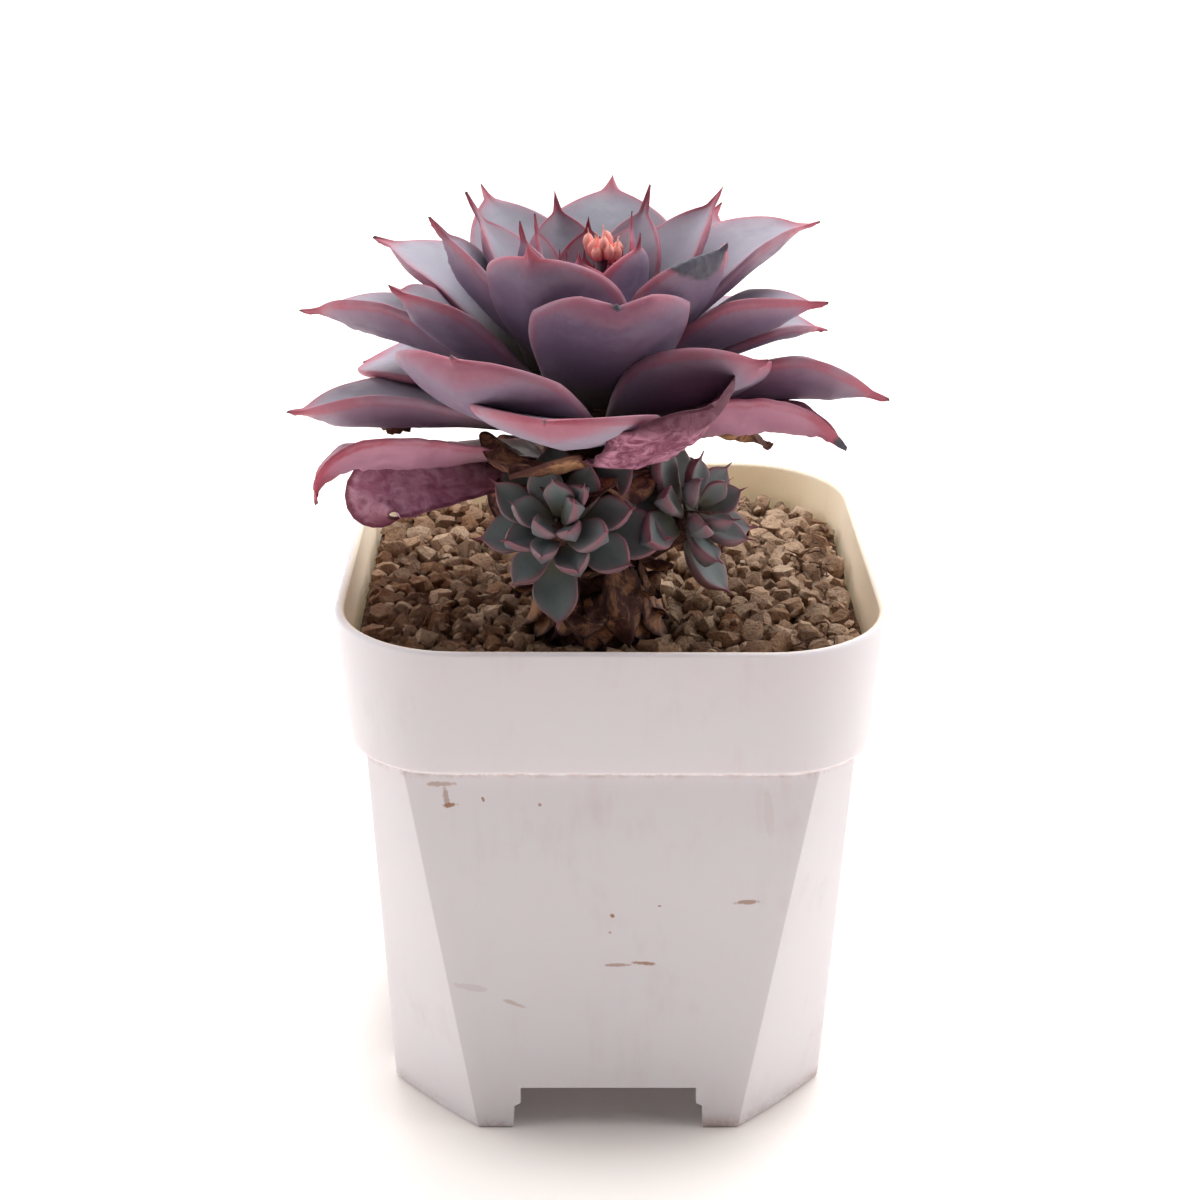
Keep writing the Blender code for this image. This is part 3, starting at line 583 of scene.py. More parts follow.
LEAVES = {
    "leaf_front_heart": leaf(4.0, 10, 0, 0.26, 0.6, notch=1.5, blunt=1.0, blush=0.5),
    "leaf_front_left": leaf(4.4, -4, 16, 0.14, 1.2, notch=0.5, blunt=0.9, blush=0.7, powder=0.12),
    "leaf_front_smile": leaf(4.2, 18, -2, 0.14, 1.0, blunt=0.7, blush=0.9, powder=0.65),
    "leaf_front_right": leaf(4.6, 20, -14, 0.14, 1.8, blunt=0.8, blush=0.8, roll=22, powder=0.3),
    "leaf_inner_front": leaf(3.4, 4, 8, 0.28, 2.8, blunt=0.7, shade=0.1),
    "leaf_scarred": leaf(3.4, 4, 2, 0.30, 1.6, scar=1.0, wider=1.2, blunt=0.6),
    "leaf_left_low": leaf(4.2, 16, -12, 0.30, 2.6, blunt=0.2, roll=-8, powder=0.3),
    "leaf_left_outer": leaf(3.8, 14, -24, 0.32, 3.4, roll=-10),
    "leaf_left_mid": leaf(3.6, -2, 0, 0.36, 2.4, shade=0.1, blunt=0.2),
    "leaf_left_blunt": leaf(3.0, 30, -24, 0.08, 1.0, blunt=0.8, tone=0.9, roll=4, powder=0.4),
    "leaf_left_back": leaf(3.2, 10, -22, 0.20, 3.6, tone=0.3),
    "leaf_left_inner": leaf(3.0, 4, 0, 0.30, 4.0),
    "leaf_back_left": leaf(2.8, 6, -4, 0.22, 3.0, tone=0.1),
    "leaf_left_high": leaf(2.6, 2, 0, 0.28, 5.0, tone=0.4),
    "leaf_right_low": leaf(3.8, 24, -34, 0.30, 3.0, roll=16),
    "leaf_right_outer": leaf(3.8, 26, -26, 0.32, 2.6, roll=10),
    "leaf_right_blunt": leaf(3.2, 28, -38, 0.20, 2.2, blunt=0.4),
    "leaf_right_long": leaf(3.4, 16, -28, 0.38, 3.4),
    "leaf_right_inner": leaf(2.6, 2, 2, 0.30, 3.6),
    "leaf_back_tall": leaf(3.2, 6, -2, 0.24, 3.0, tone=0.0),
    "leaf_back_right": leaf(2.8, 4, -6, 0.22, 2.6, tone=0.3),
    "leaf_back_inner": leaf(2.4, 4, 4, 0.30, 3.4, tone=0.2),
    "leaf_back_high": leaf(2.4, 2, 4, 0.30, 4.4, tone=0.2),
    "leaf_right_dying": leaf(
        2.6, 20, -22, 0.36, 1.6,
        crumple=0.3, burn=0.8, blush=1.0, curl=-40, roll=16,
    ),
    "leaf_left_curled": leaf(
        2.6, 2, 2, 0.26, 1.6,
        crumple=0.2, curl=-100, blush=1.4, blunt=0.7, roll=-20,
    ),
    "leaf_core_right": leaf(2.4, 4, 6, 0.34, 2.4, blush=1.6, wider=1.45, blunt=0.3),
    "leaf_core_left": leaf(2.2, 4, 6, 0.34, 3.0, blush=1.6, wider=1.3),
    "leaf_core_spike": leaf(1.8, 2, 4, 0.34, 3.0, blush=2.2, wider=1.3),
    "leaf_core_front": leaf(2.0, 4, 6, 0.34, 2.0, blush=2.2, wider=1.6),
    "leaf_core_back": leaf(2.0, 4, 6, 0.34, 2.2, blush=1.8, wider=1.5),
    "leaf_core_far": leaf(2.0, 4, 6, 0.34, 2.6, blush=1.8, wider=1.5),
    "leaf_back_rounded": leaf(3.4, 12, -18, 0.22, 1.4, blunt=0.6),
    "leaf_back_round_right": leaf(3.0, 16, -18, 0.20, 1.6, blunt=0.6),
    "leaf_back_mid": leaf(3.2, 10, -12, 0.22, 2.4),
    "leaf_back_low_left": leaf(3.2, 14, -14, 0.22, 2.0),
    "leaf_back_low": leaf(3.2, 16, -14, 0.22, 2.0),
    "leaf_back_low_right": leaf(3.2, 16, -14, 0.22, 2.0),
}
WITHERED = {
    "withered_front": leaf(
        1.6, -16, 14, 0.40, 1.0,
        crumple=0.4, wider=1.12, blunt=0.8, tone=0.4, roll=-14,
    ),
    "withered_left": leaf(
        1.4, 14, -26, 0.14, 1.0,
        crumple=0.3, curl=-230, wider=0.85, tone=0.0, roll=30,
    ),
    "withered_hanging": leaf(1.4, 24, -44, 0.40, 1.0, crumple=0.6),
    "withered_husk": leaf(1.2, 16, -14, 0.36, 0.6, crumple=0.6, wider=1.3),
}


def heading(angle):
    return np.stack((np.cos(angle), np.sin(angle)), -1)


def centre_line(start, end, leave, meet, share):
    """Points and slopes on the curve from start to end in the leaf's upright plane."""
    chord = end - start
    slope = math.atan2(chord[1], chord[0])
    pull = np.hypot(*chord) * 0.36
    near = start + pull * heading(slope + math.radians(leave))
    far = end - pull * heading(slope + math.radians(meet))
    t = share[:, None]
    u = 1 - t
    points = u**3 * start + 3 * u * u * t * near + 3 * u * t * t * far + t**3 * end
    slopes = 3 * u * u * (near - start) + 6 * u * t * (far - near) + 3 * t * t * (end - far)
    return points, np.arctan2(slopes[:, 1], slopes[:, 0])


def blade_width(share, blunt):
    """Half-width along a leaf, as a share of its widest; a blunt leaf closes in a rounder end."""
    grown = np.sin(math.pi / 2 * np.clip(share / LEAF_WIDEST, 0, 1)) ** 1.2
    past = np.clip((share - LEAF_WIDEST) / (1 - LEAF_WIDEST), 0, 1)
    closed = (1 - past ** (1.75 + 1.05 * blunt)) ** (0.80 - 0.32 * blunt)
    return np.where(share <= LEAF_WIDEST, LEAF_BASE + (1 - LEAF_BASE) * grown, closed)


def blade_thickness(share):
    return 0.26 + 0.74 * np.sin(math.pi * np.clip(share * 0.86, 0, 1)) ** 1.1


def curled(points, slopes, share, start, degrees):
    """Rolls the end of a centre line up by the given turn, from start on."""
    if not degrees:
        return points, slopes
    first = int(np.argmax(share >= start))
    steps = np.hypot(*np.diff(points[first:], axis=0).T) * 1.25
    done = np.concatenate(([0.0], np.cumsum(steps)))
    turned = slopes[first] + math.radians(degrees) * (done / done[-1]) ** 0.9
    walk = np.cumsum(heading(turned[:-1]) * steps[:, None], axis=0)
    points, slopes = points.copy(), slopes.copy()
    points[first + 1:] = points[first] + walk
    slopes[first:] = turned
    return points, slopes


def grown_leaf(name, world, start, end, width, thick, leave, meet, cup, point, seed, **traits):
    """A leaf that points along its frame's +X, with its colour guides stored at its corners."""
    trait = {**PLAIN_LEAF, "bend": 1.1 * math.sin(seed * 2.7), **traits}
    made = ball(name, trait["sides"], trait["rings"])
    unit = corners(made)
    gaps = trait["rings"] + 1
    level = ring_of(unit, gaps)
    # Along the leaf: how far each ring lies, its centre, half-width and thickness.
    tip_slope = math.atan2(*(end - start)[::-1]) + math.radians(meet)
    blade_end = end - point * heading(tip_slope)
    blade = float(np.hypot(*(blade_end - start)))
    whole = blade + point
    far = whole * (1 - (1 - np.arange(gaps + 1) / gaps) ** 1.3)
    share = np.clip(far / blade, 0, 1)
    spine, slopes = centre_line(start, blade_end, leave, meet, share)
    spine = spine + np.clip(far - blade, 0, None)[:, None] * heading(slopes)
    spine, slopes = curled(spine, slopes, far / whole, 0.74, trait["curl"])
    cusp = 0.19 * np.clip((whole - far) / (point + 1.5), 0, 3) ** 1.15
    opening = np.sqrt(np.clip(far / 1.2, 0, 1))
    half = width / 2 * (blade_width(share, trait["blunt"]) ** 3 + cusp**3) ** (1 / 3)
    half *= opening
    half[-1] = 0.0
    deep = thick * blade_thickness(share) * np.clip(0.25 + half / (width / 2), 0, 1)
    deep *= opening * np.clip(half / 0.35, 0, 1)
    # Across the leaf: u runs from edge to edge and up from the underside to the upper face.
    turn = np.arctan2(unit[:, 1], unit[:, 0])
    along, u, up = share[level], np.cos(turn), np.sin(turn)
    u = np.where(np.abs(unit[:, 2]) > 0.9999, 0.0, u)
    wide, body = half[level], deep[level]
    lift = cup * wide * np.abs(u) ** 1.7 * np.minimum(1, 0.3 + along)
    keel = trait["keel"] * np.exp(-((u / 0.22) ** 2)) * np.clip(along - 0.35, 0, 1)
    belly = body * np.abs(up) ** (1.0 - 0.2 * np.clip(along, 0, 1))
    offset = np.where(up < 0, lift - belly * (0.80 + keel), lift + belly * (0.20 - 0.25 * keel))
    guide = np.stack((far[level], u * 6 + 3 * np.sign(u), np.full(len(u), seed)), 1)
    waving = wave(guide, 9.0, seed) * np.clip(along * 2, 0, 1)
    offset += trait["ruffle"] * np.abs(u) ** 2 * waving
    offset += 0.25 * wave(guide, 6.0, seed + 40)
    side = u * wide
    if trait["crumple"]:
        creased = wave(guide * (1.0, 0.8, 1.0), 4.2, seed + 11) + 0.5 * wave(guide, 1.9, seed + 23)
        offset += 2.4 * trait["crumple"] * creased * np.clip(along * 3, 0, 1)
        side *= 1 + 0.22 * trait["crumple"] * wave(guide, 6.0, seed + 31)
    notched = np.clip(1 - (side / (0.42 * width / 2)) ** 2, 0, 1) * np.clip(along * 6 - 5, 0, 1)
    back = trait["notch"] * notched
    bent = np.sin(math.pi * np.clip(along, 0, 1)) * (0.3 if trait["crumple"] else 1)
    side = side + trait["bend"] * bent
    roll = math.radians(trait["roll"]) * np.clip(along * 2, 0, 1)
    side, offset = (
        side * np.cos(roll) + offset * np.sin(roll), offset * np.cos(roll) - side * np.sin(roll)
    )
    angle = slopes[level]
    x = spine[level, 0] - np.sin(angle) * offset - np.cos(angle) * back
    z = spine[level, 1] + np.cos(angle) * offset - np.sin(angle) * back
    local = np.stack((x, side, z, np.ones(len(x))), 1)
    move_corners(made, (local @ np.array(world).T)[:, :3])
    # The colour guides.
    gone = far[level] / whole
    face = 0.5 + 0.5 * np.clip(up * 4, -1, 1)
    edge = np.clip(wide * (1 - np.abs(u)) / EDGE_REACH, 0, 1)
    scar = trait["scar"] * np.clip((gone - 0.78) * 9, 0, 1) * np.clip(0.2 - u * 1.8, 0, 1)
    scar += trait["burn"] * np.clip((gone - 0.90) * 12, 0, 1)
    if trait["notch"] > 1:
        scar += 0.8 * np.exp(-((side / 0.6) ** 2)) * np.clip(along * 60 - 59, 0, 1)
    blush = min(trait["blush"] * 0.75, 1)
    tone, blush, shade, powder = (
        np.full(len(u), value) for value in (trait["tone"], blush, trait["shade"], trait["powder"])
    )
    store(made, "blade", np.stack((gone, edge, face, tone), 1))
    store(made, "tint", np.stack((blush, shade, scar, powder), 1))
    smooth(made)
    return made


def measured_leaf(node, row, seed):
    """Builds a leaf where its node stands: the node's mesh gives its foot, tip and width."""
    *shape, traits = row
    points = node_points(node)
    level = points[:, :2] - CROWN[:2]
    middle = level.mean(axis=0)
    guess = middle / np.hypot(*middle)
    # The foot is the ring of eight corners nearest to the crown along the leaf's own chord.
    spread = np.concatenate((level @ guess[:, None], points[:, 2:] - CROWN[2]), 1)
    centred = spread - spread.mean(axis=0)
    chord = np.linalg.svd(centred, full_matrices=False)[2][0]
    chord = chord if chord @ spread.mean(axis=0) > 0 or chord[1] > 0.9 else -chord
    reach = spread @ chord
    foot = points[np.argsort(reach)[:8]]
    pairs = ((a, b) for a in foot for b in foot)
    pair = max(pairs, key=lambda ends: np.hypot(*(ends[0] - ends[1])[:2]))
    base = (pair[0] + pair[1]) / 2
    tip = points[np.argmax(reach)]
    out = base[:2] - CROWN[:2]
    out = out / np.hypot(*out)
    across = np.array((-out[1], out[0]))
    spans = level @ across
    width = (spans.max() - spans.min()) / SECTION_SHARE * traits.get("wider", 1.0)
    world = Matrix((
        (out[0], across[0], 0, CROWN[0]),
        (out[1], across[1], 0, CROWN[1]),
        (0, 0, 1, 0),
        (0, 0, 0, 1),
    ))
    start, end = (np.array(((at[:2] - CROWN[:2]) @ out, at[2])) for at in (base, tip))
    return grown_leaf(f"{node}_grown", world, start, end, width, *shape, seed, **traits)


def standing(x, y, azimuth):
    """The frame of a leaf that grows from an upright line and faces this way."""
    return Matrix.Translation((x, y, 0)) @ Matrix.Rotation(azimuth, 4, "Z")


# ---- pot -------------------------------------------------------------------------------------
CORNER_STEPS = 13
LEDGE_STEP = 3.6
BODY_STEP = 6.1
TAPER = 3.7
# Corner cuts: the body's at its foot and how much less at the ledge, and the collar's at the
# ledge and how much more at the rim.
BODY_CUT, BODY_CUT_LOSS = 14.5, 8.4
COLLAR_CUT, COLLAR_CUT_GAIN = 15.8, 3.6
BODY_BULGE = 0.12
DRAIN_RADIUS = 5.0
DRAIN_SPAN = (6.0, 12.0)

# Stains on the front: across, up, half-length, half-height, tilt in radians, strength.
SMUDGES = (
    (-22.2, 64.6, 2.7, 0.5, 0.0, 0.5),
    (-21.5, 62.4, 0.55, 2.0, 0.15, 0.55),
    (-20.9, 60.9, 1.4, 0.55, 0.1, 0.9),
    (25.0, 43.6, 2.4, 0.5, 0.06, 0.7),
    (4.6, 31.9, 2.5, 0.35, 0.0, 0.6),
    (9.3, 32.2, 2.2, 0.45, -0.1, 0.8),
    (-11.4, 24.5, 2.4, 0.5, -0.4, 0.35),
    (-18.3, 27.6, 3.2, 0.7, -0.2, 0.16),
    (27.6, 59.5, 0.9, 4.8, 0.12, 0.10),
    (-15.9, 61.9, 0.25, 0.5, 0.3, 0.8),
    (-7.3, 61.0, 0.3, 0.35, 0.0, 0.7),
    (11.3, 42.9, 0.35, 0.25, 0.0, 0.8),
    (3.9, 41.1, 0.35, 0.45, 0.4, 0.9),
    (3.6, 38.0, 0.25, 0.25, 0.0, 0.6),
)


def outline(width, corner, bulge, height):
    """A square with cut corners: bulge 0 leaves flat chamfers and 1 makes them round."""
    half = width / 2
    inner = half - corner
    points = []
    for quarter in range(4):
        turn = Matrix.Rotation(quarter * math.pi / 2, 2)
        for step in range(CORNER_STEPS + 1):
            share = step / CORNER_STEPS
            angle = share * math.pi / 2
            arc = Vector((inner + corner * math.cos(angle), inner + corner * math.sin(angle)))
            flat = Vector((half - corner * share, inner + corner * share))
            x, y = turn @ flat.lerp(arc, bulge)
            points.append((x + POT_MIDDLE.x, y + POT_MIDDLE.y, height))
    return points


def body_at(rim, height, inset=0.0):
    share = height / COLLAR_FOOT
    width = rim - LEDGE_STEP - BODY_STEP - TAPER * (1 - share) - 2 * inset
    # A wall that goes in evenly shortens a cut corner by 2 minus the root of 2.
    cut = BODY_CUT - BODY_CUT_LOSS * share - 0.59 * inset
    return outline(width, cut, BODY_BULGE, height)


def collar_shape(rim, height):
    """The collar's width and corner radius at a height."""
    share = (height - COLLAR_FOOT) / COLLAR_HEIGHT
    return rim - LEDGE_STEP * (1 - share), COLLAR_CUT + COLLAR_CUT_GAIN * share


def collar_at(rim, height, inset=0.0):
    width, corner = collar_shape(rim, height)
    return outline(width - 2 * inset, corner - inset, 1.0, height)


def wall_depth(rim, x, y, z):
    """How far a point of the collar lies in from its outer skin; 0 anywhere below the collar."""
    if z < COLLAR_FOOT + 0.5:
        return 0.0
    width, corner = collar_shape(rim, z)
    dx = abs(x - POT_MIDDLE.x) - width / 2 + corner
    dy = abs(y - POT_MIDDLE.y) - width / 2 + corner
    out = math.hypot(max(dx, 0), max(dy, 0)) + min(max(dx, dy), 0)
    return max(corner - out, 0.0)


def cut_away(target, cutter):
    modifier = target.modifiers.new("cut", "BOOLEAN")
    modifier.operation = "DIFFERENCE"
    modifier.solver = "EXACT"
    modifier.object = cutter
    apply_modifiers(target)
    bpy.data.objects.remove(cutter, do_unlink=True)


def centre_at(height):
    return (POT_MIDDLE.x, POT_MIDDLE.y, height)


def build_pot(pot):
    rim, wall, notch = (value / MM for value in (pot.rim_width, pot.wall, pot.notch_height))
    shelf, top, lip = COLLAR_FOOT, POT_SIZE.z, wall / 2
    floor = notch + 1.6
    # Up the outside, over the lip and down the inside; each ring's height and inset.
    body = (
        (0.0, 0.4), (0.5, 0), (shelf * 0.3, 0), (shelf * 0.65, 0), (shelf - 0.8, 0), (shelf, 0.15)
    )
    collar = ((shelf + 0.05, 1.1), (shelf + 0.25, 0.35), (shelf + 0.9, 0), ((shelf + top) / 2, 0))
    rings = [body_at(rim, *ring) for ring in body] + [collar_at(rim, *ring) for ring in collar]
    for step in range(7):
        angle = step / 6 * math.pi
        rings.append(collar_at(rim, top - lip + lip * math.sin(angle), lip - lip * math.cos(angle)))
    rings.append(collar_at(rim, shelf + 2.4, wall))
    rings += [body_at(rim, height, wall) for height in (shelf - 0.4, floor)]
    made = drawn("pot_shell", rings, centre_at(0.0), centre_at(floor))
    under = [body_at(rim, -1.0, wall), body_at(rim, notch, wall)]
    cut_away(made, drawn("hollow", under, centre_at(-1.0), centre_at(notch)))
    # An opening with a step near its top, cut through each side.
    step = notch * 0.55
    profile = [(-15.6, -1), (15.6, -1), (15.3, step), (14.3, step + 0.6), (14.3, notch)]
    profile += [(-x, z) for x, z in reversed(profile[2:])]
    for quarter in range(4):
        turn = Matrix.Rotation(quarter * math.pi / 2, 3, "Z")
        rings = []
        for out in (rim / 2 - 10.4, rim):
            corners_of = (turn @ Vector((x, -out, z)) for x, z in profile)
            rings.append([(p.x + POT_MIDDLE.x, p.y + POT_MIDDLE.y, p.z) for p in corners_of])
        poles = [tuple(np.mean(ring, axis=0)) for ring in rings]
        cut_away(made, drawn(f"notch_{quarter}", rings, *poles))
    circle = DRAIN_RADIUS * heading(np.linspace(0, 2 * math.pi, 24, endpoint=False))
    hole = [[(x, y, z) for x, y in circle + POT_MIDDLE[:2]] for z in DRAIN_SPAN]
    cut_away(made, drawn("drain", hole, *(centre_at(z) for z in DRAIN_SPAN)))
    bevel = made.modifiers.new("soft edges", "BEVEL")
    bevel.width = 0.35 * MM
    bevel.segments = 2
    bevel.limit_method = "ANGLE"
    bevel.angle_limit = math.radians(26)
    apply_modifiers(made)
    smooth(made, 32)
    store(made, "wall", [(wall_depth(rim, *point) / wall, 0, 0, 1) for point in corners(made) / MM])
    finish_piece(made, plastic_finish(pot), "pot_plastic", "pot")


# ---- grit ------------------------------------------------------------------------------------
# The inside of the collar, measured from its middle.
INNER_HALF = POT_SIZE.x / 2 - 3.1
INNER_CORNER = 15.5
CELL = 5
GRAIN_SHAPES = 9
# Round the stem, no grain's middle comes closer to its axis than this.
STEM_CLEARANCE = 7.2


def stone(name, seed):
    """A broken grain about 2 mm across: a cube, cut finer, half rounded and knocked about."""
    deselect()
    bpy.ops.mesh.primitive_cube_add(size=2.0)
    made = bpy.context.object
    made.name = name
    bpy.ops.object.mode_set(mode="EDIT")
    bpy.ops.mesh.select_all(action="SELECT")
    bpy.ops.mesh.subdivide(number_cuts=1)
    bpy.ops.object.mode_set(mode="OBJECT")
    start = corners(made)
    round_one = start / np.linalg.norm(start, axis=1)[:, None]
    shape = start * 0.22 + round_one * 0.74
    shape += np.stack([wave(start, 0.9, seed + k) for k in range(3)], 1) * 0.46
    return made, shape


def fits_inside(x, y, radius):
    dx, dy = (max(abs(side) - INNER_HALF + INNER_CORNER, 0) for side in (x, y))
    reach = radius * 0.8
    if math.hypot(dx, dy) > INNER_CORNER - reach or max(abs(x), abs(y)) > INNER_HALF - reach:
        return False
    from_stem = math.hypot(x + POT_MIDDLE.x - STEM_ROOT[0], y + POT_MIDDLE.y - STEM_ROOT[1])
    return from_stem >= STEM_CLEARANCE + radius * 0.6


def throw_grains(smallest, largest, tries, crowding, seed):
    """Places for grains inside the collar, the largest first, none closer than they can lie."""
    draw = random.Random(seed)
    placed, cells = [], {}
    radii = [smallest + (largest - smallest) * draw.random() ** 1.5 for _ in range(tries)]
    for radius in sorted(radii, reverse=True):
        for _ in range(14):
            x, y = draw.uniform(-INNER_HALF, INNER_HALF), draw.uniform(-INNER_HALF, INNER_HALF)
            if not fits_inside(x, y, radius):
                continue
            column, line = int(x // CELL), int(y // CELL)
            around = [(column + i, line + j) for i in (-1, 0, 1) for j in (-1, 0, 1)]
            near = [grain for key in around for grain in cells.get(key, ())]
            if all(math.hypot(x - px, y - py) > crowding * (radius + pr) for px, py, pr in near):
                cells.setdefault((column, line), []).append((x, y, radius))
                placed.append((x + POT_MIDDLE.x, y + POT_MIDDLE.y, radius))
                break
    return placed


def stones_mesh(name, blanks, faces, grains, seed):
    """One mesh of many grains: place, radius and darkness, which is painted shade, of each are
    given; each grain's paleness also carries painted light, paler to the right.
    """
    draw = random.Random(seed)
    points, polygons, guides, count = [], [], [], 0
    for x, y, z, radius, deep in grains:
        shape = blanks[draw.randrange(len(blanks))]
        angle, axis = draw.uniform(0, 6.28), Vector([draw.uniform(-1, 1) for _ in "xyz"])
        turn = np.array(Matrix.Rotation(angle, 3, axis))
        flat = np.array((1.0, draw.uniform(0.75, 1.0), draw.uniform(0.6, 0.85)))
        placed = (shape * flat) @ turn.T * radius + (x, y, z)
        points.append(placed)
        polygons += [tuple(i + count for i in face) for face in faces]
        # Painted light: on top of its own random tone, each grain is painted paler the further
        # right it lies and darker to the left.
        pale = min(max(draw.gauss(0.42, 0.24) + 0.006 * (x - POT_MIDDLE.x), 0), 1)
        guides += [(pale, draw.random(), deep, 1.0)] * len(placed)
        count += len(placed)
    mesh = bpy.data.meshes.new(name)
    mesh.from_pydata((np.concatenate(points) * MM).tolist(), [], polygons)
    made = bpy.data.objects.new(name, mesh)
    bpy.context.scene.collection.objects.link(made)
    store(made, "grain", guides)
    smooth(made, 46)
    return made


def build_grit(grit):
    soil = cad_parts["soil"]
    soil.data.materials.clear()
    soil.data.materials.append(earth_finish())
    look = grain_finish("grit_grains", grit)
    ground = BVHTree.FromObject(soil, bpy.context.evaluated_depsgraph_get())
    blanks, faces = [], None
    for i in range(GRAIN_SHAPES):
        blank, shape = stone(f"grain_{i}", 3 + i * 5)
        blanks.append(shape)
        faces = [tuple(p.vertices) for p in blank.data.polygons]
        bpy.data.objects.remove(blank, do_unlink=True)

    def surface(x, y):
        hit = ground.ray_cast(Vector((x, y, 120.0)) * MM, Vector((0, 0, -1)))[0]
        return hit.z / MM if hit else SOIL_LEVEL - 1.0

    small, large = grit.smallest / MM, grit.largest / MM
    draw = random.Random(77)
    # Least and greatest radius, tries, crowding, seed, lift and darkness of each layer; the
    # darkness is painted shade, most on the lowest layer, which lies half buried between the
    # others.
    layers = (
        (small * 1.1, large * 0.9, 1500, 0.72, 1, -0.5, 0.45),
        (small * 1.3, large, 900, 0.86, 2, 0.75, 0.0),
        (small * 0.7, small * 1.15, 500, 0.9, 3, 1.3, 0.1),
    )
    grains = []
    for *throw, lift, deep in layers:
        for x, y, radius in throw_grains(*throw):
            height = surface(x, y) + lift + draw.uniform(-0.3, 0.5)
            grains.append((x, y, height, radius, deep * draw.uniform(0.4, 1.0)))
    finish_piece(stones_mesh("grit_grains", blanks, faces, grains, 5), look, "grit")
    low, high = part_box("pebble")
    x, y, z = (Vector(low) + Vector(high)) / 2 / MM
    # The caught pebble's grains: place, radius and painted shade.
    caught = [
        (x, y, z, 1.9, 0.0),
        (x + 1.9, y + 0.6, z - 0.3, 1.3, 0.1),
        (x - 1.6, y + 1.1, z - 0.2, 1.0, 0.2),
    ]
    pebble = stones_mesh("caught_pebble", blanks, faces, caught, 9)
    finish_piece(pebble, look, "grit", "pebble")


# ---- stem ------------------------------------------------------------------------------------
STEM_RADIUS = 6.6


def stem_centre(height):
    share = min(max((height - SOIL_LEVEL) / (CROWN[2] - SOIL_LEVEL), 0.0), 1.0)
    ease = share * share * (3 - 2 * share)
    return STEM_ROOT + (CROWN[:2] - STEM_ROOT) * ease


def tube(name, centres, radii, sides, rough, seed):
    """A round, bumpy limb through the given centres."""
    centres = [Vector(c) for c in centres]
    rings = []
    for i, (centre, radius) in enumerate(zip(centres, radii)):
        along = (centres[min(i + 1, len(centres) - 1)] - centres[max(i - 1, 0)]).normalized()
        turn = along.to_track_quat("Z", "Y").to_matrix()
        ring = []
        for k in range(sides):
            x, y = heading(2 * math.pi * k / sides)
            knob = 1 + rough * noise.noise(Vector((x * 1.6, y * 1.6, i * 0.45 + seed)))
            ring.append(tuple(centre + turn @ Vector((x, y, 0)) * radius * knob))
        rings.append(ring)
    return drawn(name, rings, tuple(centres[0]), tuple(centres[-1]))


def build_stem():
    low, high = (value[2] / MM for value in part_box("stem"))
    centres, radii = [], []
    for level in np.linspace(low + 0.5, high, 40):
        # The top closes over the last 14 mm, and leaf scars ring the whole of it.
        past = min(max(level - CROWN[2] - 6.0, 0.0) / 14.0, 0.97)
        scar = 1.0 + 0.05 * math.sin(level * 2.1)
        centres.append((*stem_centre(level), level))
        radii.append(STEM_RADIUS * math.sqrt(1 - past**2) * scar * 0.97)
    pieces = [tube("trunk", centres, radii, 40, 0.22, 3)]
    for heart, facing, _, _, _ in OFFSETS:
        foot, axis = offset_frame(heart, facing)
        root = Vector((*stem_centre(foot.z - 5.0), foot.z - 5.0))
        bow = (root + foot) / 2 - Vector((0, 0, 1.6))
        path = [root, bow, foot, foot + axis * 4.5, foot + axis * 8.0]
        pieces.append(tube("stalk", path, (3.2, 2.8, 2.5, 2.2, 1.2), 16, 0.2, 8))
    made = joined("woody_stem", pieces)
    smooth(made)
    look = bark_finish("stem_bark", rgb(138, 100, 86), rgb(62, 38, 40))
    finish_piece(made, look, "stem_bark", "stem")
    build_husks()


def husk(x, y, azimuth, start, end, wide, thick, turns, cup, seed, **traits):
    """A dry scrap of leaf standing out from a point of the stem; start and end are out and up."""
    world = standing(x, y, azimuth)
    start, end = np.array(start), np.array(end)
    return grown_leaf("husk", world, start, end, wide, thick, *turns, cup, 0.8, seed, **traits)


def build_husks():
    """Husks all round the stem, a skirt hanging over its foot, and frills under the rosette."""
    draw = random.Random(21)
    husks = []
    for i in range(20):
        level = 84.0 + 17.0 * (i / 19) + draw.uniform(-1, 1)
        azimuth = i * GOLDEN_TURN + draw.uniform(-0.3, 0.3)
        long = draw.uniform(5.0, 10.5)
        end = (6.6 + long * 0.55, level + draw.uniform(-4.5, 2.0))
        curl, wide = draw.uniform(-90, 40), draw.uniform(7, 11)
        husks.append(husk(
            *stem_centre(level), azimuth, (5.6, level), end, wide, 0.9, (30, -40), 0.4, 50 + i,
            crumple=0.45, sides=14, rings=15, curl=curl,
        ))
    for i in range(12):
        azimuth = math.radians(-175 + 16 * i + draw.uniform(-5, 5))
        start = (6.2, draw.uniform(88.0, 95.0))
        end = (draw.uniform(8.0, 11.0), draw.uniform(79.5, 82.0))
        curl, wide = draw.uniform(0, 60), draw.uniform(6, 9)
        husks.append(husk(
            *stem_centre(84.0), azimuth, start, end, wide, 0.9, (10, -14), -0.3, 120 + i,
            crumple=0.5, sides=14, rings=17, curl=curl,
        ))
    for i in range(13):
        level = draw.uniform(102.0, 106.0)
        end = (draw.uniform(13, 20), level + draw.uniform(-5.0, 0.5))
        curl, wide = draw.uniform(-110, 10), draw.uniform(9, 13)
        azimuth = 0.4 + i * GOLDEN_TURN
        husks.append(husk(
            *CROWN[:2], azimuth, (6.4, level), end, wide, 1.0, (30, -40), 0.3, 90 + i,
            crumple=0.4, sides=16, rings=21, curl=curl,
        ))
    look = papery_finish("dry_husk", rgb(176, 132, 100), rgb(112, 70, 66), rgb(54, 32, 34))
    finish_piece(joined("stem_husks", husks), look, "withered_leaf")


# ---- rosette ---------------------------------------------------------------------------------
YOUNG_LEAVES = 11


